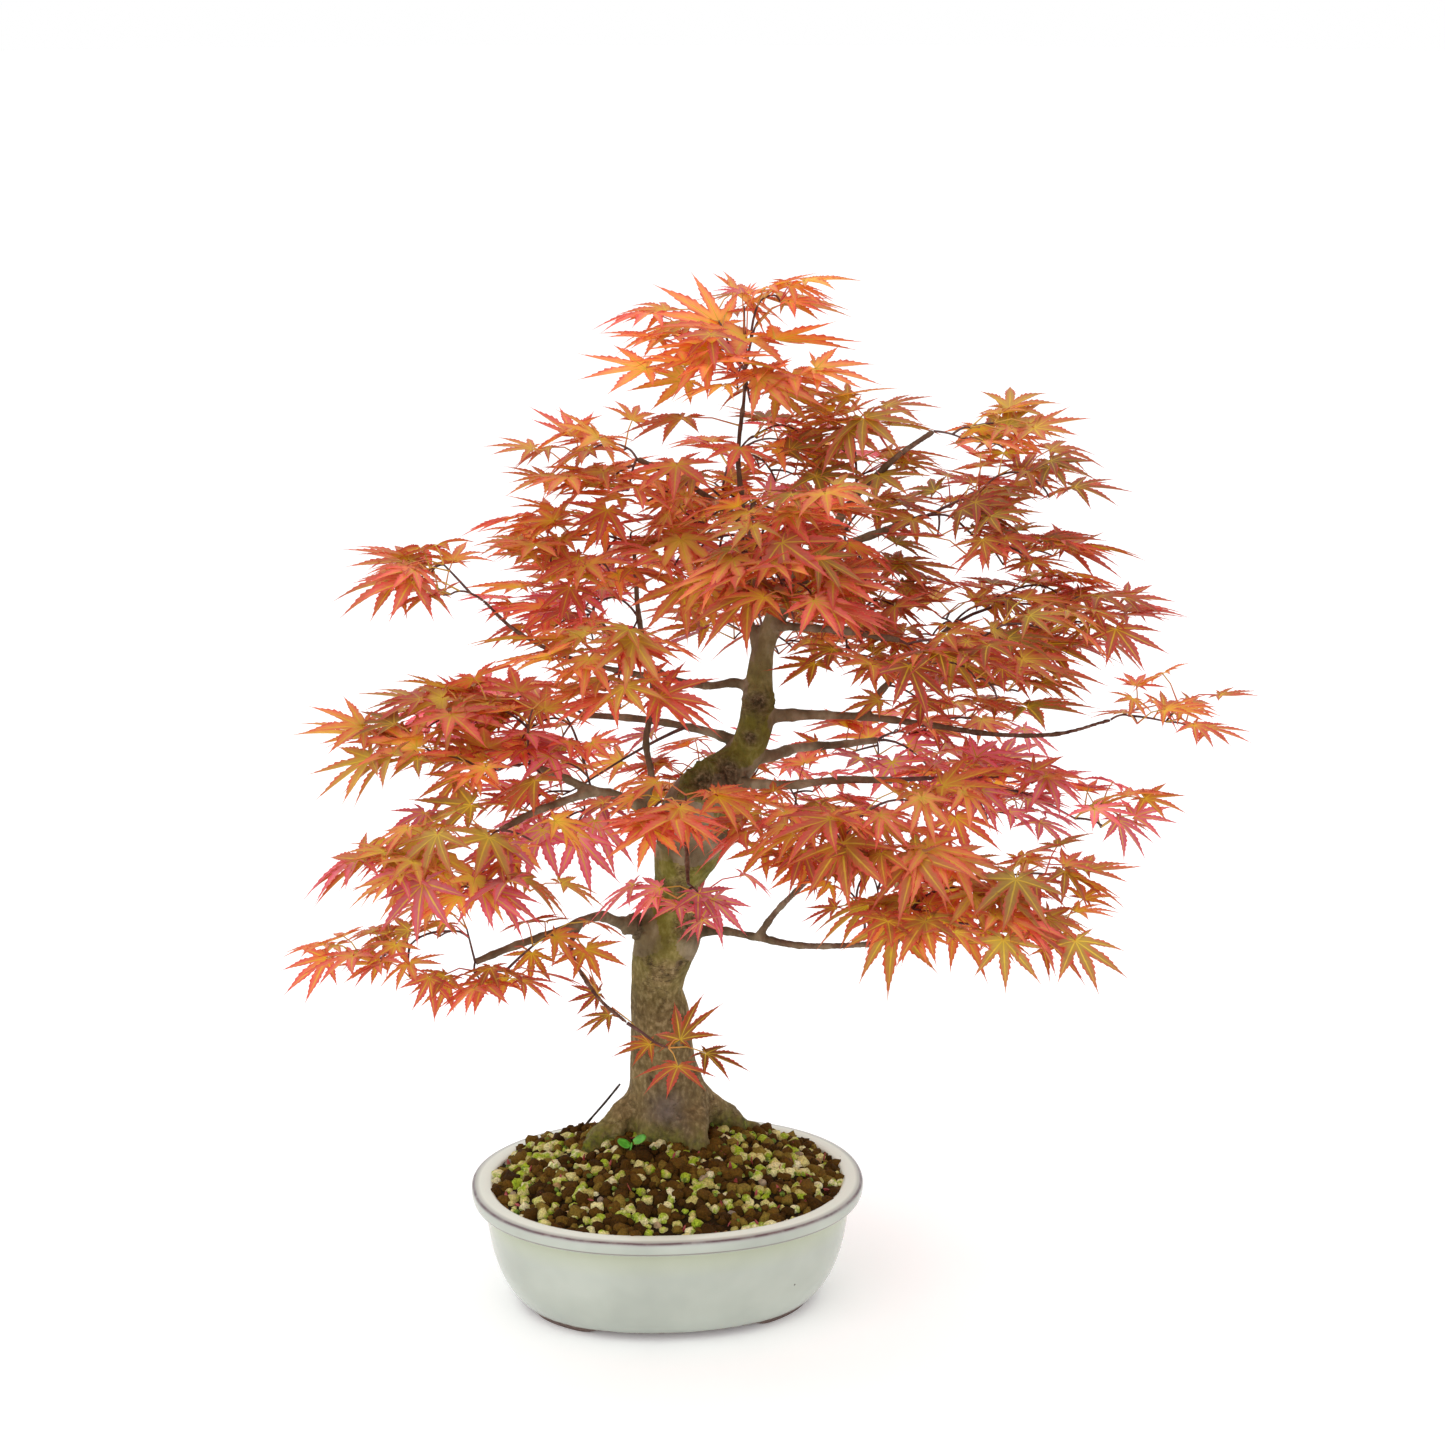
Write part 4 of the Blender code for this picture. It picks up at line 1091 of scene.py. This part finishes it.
def maple_leaf(name, rng):
    """A palmate leaf of unit middle lobe: base at the origin, middle lobe along +Y, face up."""
    points, faces, uv = [], [], []
    curl = rng.uniform(-0.04, 0.22)
    fold = rng.uniform(0.2, 0.6)
    cup = rng.uniform(-0.02, 0.14)

    def place(x, y, half, at, sag=0.0):
        reach = math.hypot(x, y)
        points.append((x, y, -curl * reach**2 + cup * reach + fold * half - 0.02 - sag))
        uv.append(at)
        return len(points) - 1

    lobes = sorted(LOBES, key=lambda lobe: lobe[0])
    lobes = [(a + rng.uniform(-5, 5), length * rng.uniform(0.93, 1.06), width) for a, length, width in lobes]
    heart = place(0, 0, 0, (0.5, 0.0))
    angles = [lobe[0] for lobe in lobes]
    bounds = [angles[0] - 30] + [(a + b) / 2 for a, b in zip(angles, angles[1:])] + [angles[-1] + 30]
    sinuses = []
    for i, angle in enumerate(bounds):
        reach = SINUS * (0.55 if i in (0, len(bounds) - 1) else rng.uniform(0.9, 1.1))
        sinuses.append((math.sin(math.radians(angle)) * reach, math.cos(math.radians(angle)) * reach))
    for i, (angle, length, width) in enumerate(lobes):
        ahead = Vector((math.sin(math.radians(angle)), math.cos(math.radians(angle))))
        side_way = Vector((ahead.y, -ahead.x))
        sweep = rng.uniform(-0.07, 0.07)
        droop = rng.uniform(-0.1, 0.14)

        def lobe_point(t, half=0.0, sign=0):
            spot = ahead * (t * length) + side_way * (sweep * length * t * t + sign * half * width * length)
            return place(spot.x, spot.y, half, (0.5 + 0.5 * sign, t), droop * t * t * length)

        ribs = [lobe_point(t) for t in (0.2, 0.42, 0.58, 0.76, 1.0)]
        for sign, sinus in ((-1, sinuses[i]), (1, sinuses[i + 1])):
            hollow = place(*sinus, 0.07, (0.5 + 0.5 * sign, 0.26))
            edge = [lobe_point(t, half, sign) for t, half in LOBE_EDGE]
            strips = [(heart, hollow, ribs[0]), (ribs[0], hollow, *edge[:3], ribs[1])]
            strips += [(ribs[k], *edge[3 * k - 1 : 3 * k + 3], ribs[k + 1]) for k in (1, 2, 3)]
            faces += [strip if sign < 0 else tuple(reversed(strip)) for strip in strips]
    mesh = mesh_from(name, points, faces)
    layer = mesh.uv_layers.new(name="leaf")
    for loop in mesh.loops:
        layer.data[loop.index].uv = uv[loop.vertex_index]
    mesh.shade_smooth()
    return mesh


LEAF_MARKS = (
    ("turn", "FLOAT_VECTOR"), ("size", "FLOAT"), ("kind", "INT"),
    ("blade", "FLOAT_COLOR"), ("heart", "FLOAT_COLOR"),
)
LEAF_KINDS = 8  # different leaves, each used many times
LEAF_ROOM = 24 * MM  # what the outermost leaves take of a spray's half length
LEAF_LIGHTS = (0.7, 0.86, 0.98, 1.08, 1.24)  # some leaves are deeper in colour than others, some paler: partly their own tone, partly painted shade and light for leaves in shadow and in the sun
LEAF_SPAN = 1.6  # a leaf's width against its middle lobe
CROWN_AXIS = (35, 5, 300)
LEAF_OVERHANG = 12 * MM  # how far a leaf may pass the outermost spray
STALK_RISE = 6 * MM  # how far the stalks lift the leaves over their twigs


class Spray:
    """One spray of leaves: its twigs, its leaf stalks and where each leaf sits."""

    def __init__(self, node, branch, twigs, leaf_mm, droop, thickness, colours, seed, station=-1, room=None):
        self.node = node
        self.rng = np.random.default_rng(seed)
        self.centre, self.half = middle_and_half(*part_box("leaves_" + node))
        self.centre.z += LIFTS.get(node, 0) * MM
        if room:
            self.centre = in_tree(room[0])
            self.half = Vector(room[1]) * MM
        stations = BRANCHES[branch]
        self.entry = in_tree(stations[station][:3])
        self.heading = (self.entry - in_tree(stations[station - 1][:3])).normalized()
        self.start_girth = min(1.8, stations[station][3])
        self.shade = PAINTED_LIGHT_BY_SPRAY.get(node, 1.0)
        self.twigs, self.leaf_mm, self.droop, self.thickness = twigs, leaf_mm, droop, thickness
        self.colours = colours.split()
        self.joints = [(self.entry, self.heading, 0.0)]
        self.twig_runs, self.stalk_runs, self.leaves = [], [], []

    def tip(self, i):
        """Where the next twig ends: spread evenly over the spray, in layers, and lower at the rim."""
        share = math.sqrt((i + 0.6) / self.twigs)
        angle = GOLDEN_ANGLE * i + self.rng.uniform(-0.4, 0.4)
        reach_x, reach_y = (max(0.3 * half, half - LEAF_ROOM) * share for half in self.half[:2])
        layer = (i * GOLDEN_SHARE) % 1 * 2 - 1
        rise = self.thickness * (layer * (1 - 0.45 * share) + 0.1 - 0.35 * share**2)
        out = (reach_x * math.cos(angle), reach_y * math.sin(angle), self.half.z * rise - STALK_RISE)
        return self.centre + Vector(out)

    def grow(self):
        tips = sorted((self.tip(i) for i in range(self.twigs)), key=lambda tip: (tip - self.entry).length)
        for tip in tips:
            self.grow_twig(tip)
        return self

    def stand_clear(self, rows):
        """The single leaves that stand clear of the rest, where they are given."""
        if self.node in CLEAR_TWIGS:
            spots = [in_tree(spot) for spot in CLEAR_TWIGS[self.node]]
            self.twig_runs.append((spots, np.linspace(1.0, 0.5, len(spots))))
        for foot, base, azimuth, droop, width, colour in rows:
            foot, base = in_tree(foot), in_tree(base)
            self.add_stalk(foot, base, 2 * MM)
            self.set_leaf(base, math.radians(azimuth) + TREE_TURN, math.radians(droop), width, colour)

    def add_stalk(self, foot, base, arch):
        middle = (foot + base) / 2 + UP * arch
        self.stalk_runs.append(([foot, middle, base], [0.5, 0.36, 0.36]))

    def grow_twig(self, tip):
        def cost(joint):
            run = tip - joint[0]
            return run.length * (1.5 - 0.5 * run.normalized().dot(joint[1])) + 0.25 * joint[2]

        start, heading, travelled = min(self.joints, key=cost)
        run = tip - start
        length = run.length
        if length < 6 * MM:
            return
        bow = UP * (0.09 * length) + Vector(self.rng.normal(0, 0.04, 3)) * length
        steps = [(k / 6, k / 6 * (1 - k / 6)) for k in range(7)]
        spots = [start + run * t + bow * (4 * arch) + heading * (0.18 * length * arch) for t, arch in steps]
        thick = min(self.start_girth, 0.55 + 9 * length)
        radii = [max(0.5, thick + (0.5 - thick) * (k / 6) ** 0.8) for k in range(7)]
        self.twig_runs.append((spots, radii))
        final = (spots[-1] - spots[-2]).normalized()
        for k in (2, 4):
            self.joints.append((spots[k], (spots[k + 1] - spots[k]).normalized(), travelled + length * k / 6))
        self.joints.append((tip, final, travelled + length))
        self.pair_of_leaves(tip, final, 1.0, True)
        if length > 18 * MM:
            self.pair_of_leaves(spots[4], (spots[5] - spots[3]).normalized(), 0.9, self.rng.random() < 0.55)
        if length > 40 * MM:
            self.pair_of_leaves(spots[2], (spots[3] - spots[1]).normalized(), 0.86, self.rng.random() < 0.4)

    def pair_of_leaves(self, joint, heading, share, both):
        """Opposite leaves on their stalks, one either side of the twig."""
        around = math.atan2(heading.y, heading.x)
        outward = self.centre_out(joint)
        around = math.atan2(math.sin(around) + 0.5 * outward.y, math.cos(around) + 0.5 * outward.x)
        for side in (-1, 1) if both else (self.rng.choice((-1, 1)),):
            azimuth = around + side * math.radians(self.rng.uniform(22, 80))
            rise = math.radians(self.rng.uniform(0, 40))
            stalk = self.rng.uniform(13, 26) * MM * share
            ahead = Vector((math.cos(azimuth), math.sin(azimuth), 0))
            base = joint + ahead * (stalk * math.cos(rise)) + UP * (stalk * math.sin(rise))
            self.add_stalk(joint, base, stalk * 0.12)
            self.leaf(base, azimuth, share)

    def centre_out(self, joint):
        """Away from the trunk's line, level: where leaves turn to find the light."""
        out = joint - in_tree(CROWN_AXIS)
        out.z = 0
        return out.normalized() if out.length > 1e-6 else Vector((0, -1, 0))

    def leaf(self, base, azimuth, share):
        azimuth += math.radians(self.rng.normal(0, 14))
        droop = math.radians(self.rng.normal(self.droop, 13))
        width = self.leaf_mm * share * self.rng.uniform(0.68, 1.16)
        colour = self.colours[int(self.rng.integers(len(self.colours)))]
        self.set_leaf(base, azimuth, droop, width, colour)

    def set_leaf(self, base, azimuth, droop, width, colour):
        level = Vector((math.cos(azimuth), math.sin(azimuth), 0))
        ahead = level * math.cos(droop) - UP * math.sin(droop)
        roll = Matrix.Rotation(math.radians(self.rng.normal(0, 13)), 3, ahead)
        face = roll @ (level * math.sin(droop) + UP * math.cos(droop))
        across = ahead.cross(face)
        turn = Matrix((across, ahead, face)).transposed().to_euler()
        width = min(width, LEAF_SPAN * room_ahead(base, ahead) / MM)
        # Painted light and shade: leaves high in their spray are made paler and low ones deeper, on top of
        # the spray's painted light share and the leaf's random tone
        depth = max(-1, min(1, (base.z - self.centre.z) / max(self.half.z, 10 * MM)))
        light = self.rng.choice(LEAF_LIGHTS) * self.rng.uniform(0.92, 1.08) * (1 + 0.08 * depth) * self.shade
        blend = self.rng.uniform(0, 0.22)
        colours = []
        for own, other in zip(LEAF_COLOURS[colour], LEAF_COLOURS["orange"]):
            pairs = zip(from_hex(own)[:3], from_hex(other)[:3])
            colours.append((*((a * (1 - blend) + b * blend) * light for a, b in pairs), 1))
        kind = int(self.rng.integers(LEAF_KINDS))
        self.leaves.append((tuple(base), tuple(turn), width / LEAF_SPAN * MM, kind, *colours))


def room_ahead(base, ahead):
    """How long a leaf can be from here before it leaves the tree's overall room."""
    reach = 1.0
    for axis in (0, 1):
        wall = CAD_BOX[1 if ahead[axis] > 0 else 0][axis]
        if abs(ahead[axis]) > 1e-3:
            reach = min(reach, (wall - base[axis]) / ahead[axis] + LEAF_OVERHANG)
    return max(reach, 12 * MM)


def runs_mesh(name, runs):
    """Runs of points as edges, with each point's girth in metres."""
    points, edges, girth = [], [], []
    for spots, radii in runs:
        first = len(points)
        points += [tuple(spot) for spot in spots]
        girth += [r * MM for r in radii]
        edges += [(first + k, first + k + 1) for k in range(len(spots) - 1)]
    mesh = bpy.data.meshes.new(name)
    mesh.from_pydata(points, edges, [])
    set_floats(mesh, "girth", girth)
    return mesh


def build_sprays(leaf_mat, twig_mat, stalk_mat):
    rng = np.random.default_rng(LEAF_SEED)
    shapes = collection_of("maple_leaf", [maple_leaf(f"maple_leaf_{i}", rng) for i in range(LEAF_KINDS)])
    placing, stalks = leaf_placing_tree(), stalk_tree()
    twig_runs, stalk_runs = [], []
    for i, row in enumerate(SPRAYS):
        spray = Spray(*row, seed=SPRAY_SEED + i).grow()
        spray.stand_clear(CLEAR_LEAVES.get(spray.node, ()))
        for j, (node, branch, station, middle, half, *rest) in enumerate(FILLS, FILL_SEED):
            if node == spray.node:
                fill = Spray(node, branch, *rest, seed=j, station=station, room=(middle, half)).grow()
                spray.leaves += fill.leaves
                spray.twig_runs += fill.twig_runs
                spray.stalk_runs += fill.stalk_runs
        twig_runs += spray.twig_runs
        stalk_runs += spray.stalk_runs
        mesh = bpy.data.meshes.new("leaf_points")
        bases, *marks = zip(*spray.leaves)
        mesh.from_pydata(bases, [], [])
        for (name, kind), values in zip(LEAF_MARKS, marks):
            set_floats(mesh, name, values, kind)
        blades = add_object("blades_" + spray.node, mesh)
        grown(blades, placing, {"Leaves": shapes, "Material": leaf_mat})
        into_frame(blades, "maple_leaf", "leaves_" + spray.node)
    for name, runs, sides, mat, slot in (
        ("fine_twigs", twig_runs, 6, twig_mat, "maple_bark"),
        ("leaf_stalks", stalk_runs, 5, stalk_mat, "maple_leaf"),
    ):
        piece = add_object(name, runs_mesh(name, runs))
        grown(piece, stalks, {"Sides": sides, "Material": mat})
        into_frame(piece, slot)


# ---- Small plants on the soil ----
def build_dead_twig(mat):
    path = with_joints(smooth_path(TWIG, 1.5), np.random.default_rng(DRY_TWIG_SEED))
    points, faces = tube(path, 8)
    twig = add_shape("dry_twig", [in_tree(p) for p in points], faces)
    coat(twig, mat)
    into_frame(twig, "dead_twig_bark", "dead_twig")


def build_seedling(mat):
    """A stem and two round, slightly notched seed leaves."""
    points, faces = tube(smooth_path(SEEDLING_STEM, 1.5), 8)
    points = [in_tree(p) for p in points]
    for centre, tilt, turn in (((-24.2, 0, 90), 24, 170), ((-15.8, 1, 92), -22, 10)):
        pose = Euler((math.radians(18), math.radians(tilt), 0)).to_matrix()
        spin = Matrix.Rotation(math.radians(turn), 3, "Z")
        first = len(points)
        for level in (0.25, -0.25):
            points.append(in_tree(Vector(centre) + pose @ Vector((0, 0, level - 0.5))))
            for ring in (0.35, 0.7, 1.0):
                for k in range(20):
                    angle = math.tau * k / 20
                    notch = 1 - 0.16 * math.exp(-((angle - math.pi) / 0.35) ** 2) if ring == 1 else 1
                    spot = Vector((math.cos(angle) * 4.2, math.sin(angle) * 3.6, 0)) * ring * notch
                    spot.z = level * (1 - 0.8 * ring) - 0.5 * (1 - ring * ring)
                    points.append(in_tree(Vector(centre) + pose @ (spin @ spot)))
        sides = []
        for pole in (first, first + 61):
            rings = [list(range(start, start + 20)) for start in range(pole + 1, pole + 61, 20)]
            new = fan_faces(pole, rings[0]) + ring_faces(rings[0], rings[1]) + ring_faces(rings[1], rings[2])
            faces += [tuple(reversed(f)) if sides else f for f in new]
            sides.append(rings[2])
        faces += ring_faces(*sides)
    seedling = add_shape("seed_leaves", points, faces)
    coat(seedling, mat)
    into_frame(seedling, "seedling_leaf", "seedling")


# ---- Studio ----
# Soft boxes: name, place, power in watts, side in metres
SOFTBOXES = (("key_softbox", (-1.2, -1.4, 1.85), 13.5, 1.8), ("top_softbox", (0.3, 0.2, 2.2), 6, 1.2))
MIDDLE_OF_TREE = Vector((0.03, 0, 0.3))
CAMERA_SPOT = (30.8, -1626.4, 785.2)  # in the tree's axes
LOOKING_DOWN = math.radians(15.49)
LENS, SENSOR = 78, 36


def build_studio():
    mat, tree = new_material("studio_paper")
    fibre = ramp(noise_of(tree, 60, detail=2), ((0.3, "#fdfdfd"), (0.7, "#ffffff")))
    links = {"Base Color": fibre, "Roughness": 0.9, "Emission Color": (1, 1, 1, 1), "Emission Strength": 0.14}
    finish_material(mat, add(tree, "ShaderNodeBsdfPrincipled", links).outputs[0])
    bm = bmesh.new()
    bmesh.ops.create_circle(bm, cap_ends=True, segments=64, radius=12)
    mesh = from_bmesh("studio_floor", bm)
    mesh.transform(Matrix.Translation((0, 0, POT_CENTRE.z - 0.0002)))
    floor = add_object("studio_floor", mesh)
    floor.data.materials.append(mat)
    world = bpy.data.worlds.new("studio_surround")
    world.use_nodes = True
    surround = world.node_tree.nodes["Background"].inputs
    surround["Color"].default_value = (1, 1, 1, 1)
    surround["Strength"].default_value = 1.0
    bpy.context.scene.world = world
    for name, place, power, size in SOFTBOXES:
        light = bpy.data.lights.new(name, "AREA")
        light.energy = power
        light.size = size
        lamp = bpy.data.objects.new(name, light)
        lamp.location = place
        aim = MIDDLE_OF_TREE - Vector(place)
        lamp.rotation_euler = aim.to_track_quat("-Z", "Y").to_euler()
        bpy.context.scene.collection.objects.link(lamp)


def build_camera():
    """Level with the top of the tree and looking down on the soil, from straight in front of the tree."""
    data = bpy.data.cameras.new("camera")
    data.sensor_width = SENSOR
    data.lens = LENS
    camera = bpy.data.objects.new("camera", data)
    camera.location = in_tree(CAMERA_SPOT)
    camera.rotation_euler = (math.radians(90) - LOOKING_DOWN, 0, TREE_TURN)
    bpy.context.scene.collection.objects.link(camera)
    bpy.context.scene.camera = camera


bpy.context.scene.view_settings.view_transform = "Standard"
build_camera()
build_studio()
build_pot(glaze_material())
build_screens(plain_natural("screen_polyethylene", ((0.3, "#1c2a20"), (0.7, "#2a3a2c")), 4, 0.5))
build_soil(
    grain_material("akadama_fines", ((0.0, "#241703"), (1.0, "#32230c"))),
    grain_material(
        "akadama_baked_clay", ((0.0, "#382204"), (0.4, "#54380c"), (0.75, "#6c4e18"), (1.0, "#8a7630"))),
    grain_material("pumice_grit", ((0.0, "#c2b566"), (0.5, "#e2d890"), (1.0, "#f2eac0")), algae=0.9),
    grain_material("mixed_pebble", ((0.0, "#6f6f6c"), (0.5, "#a89478"), (1.0, "#b08a52")), grit_mm=2.5),
    plain_natural("dry_bud_scale", ((0.3, "#7d2a2c"), (0.7, "#b04a48")), 3, 0.6),
    plain_natural("cushion_moss", ((0.3, "#39480f"), (0.7, "#7a9428")), 1.5, 0.9),
)
build_wood(bark_material())
build_sprays(maple_leaf_material(), twig_material(), stalk_material())
build_dead_twig(plain_natural("dead_wood", ((0.3, "#1e1614"), (0.7, "#4a3a34")), 3, 0.8))
build_seedling(plain_natural("seedling_leaf_tissue", ((0.3, "#3f9a24"), (0.7, "#68c23c")), 4, 0.4))
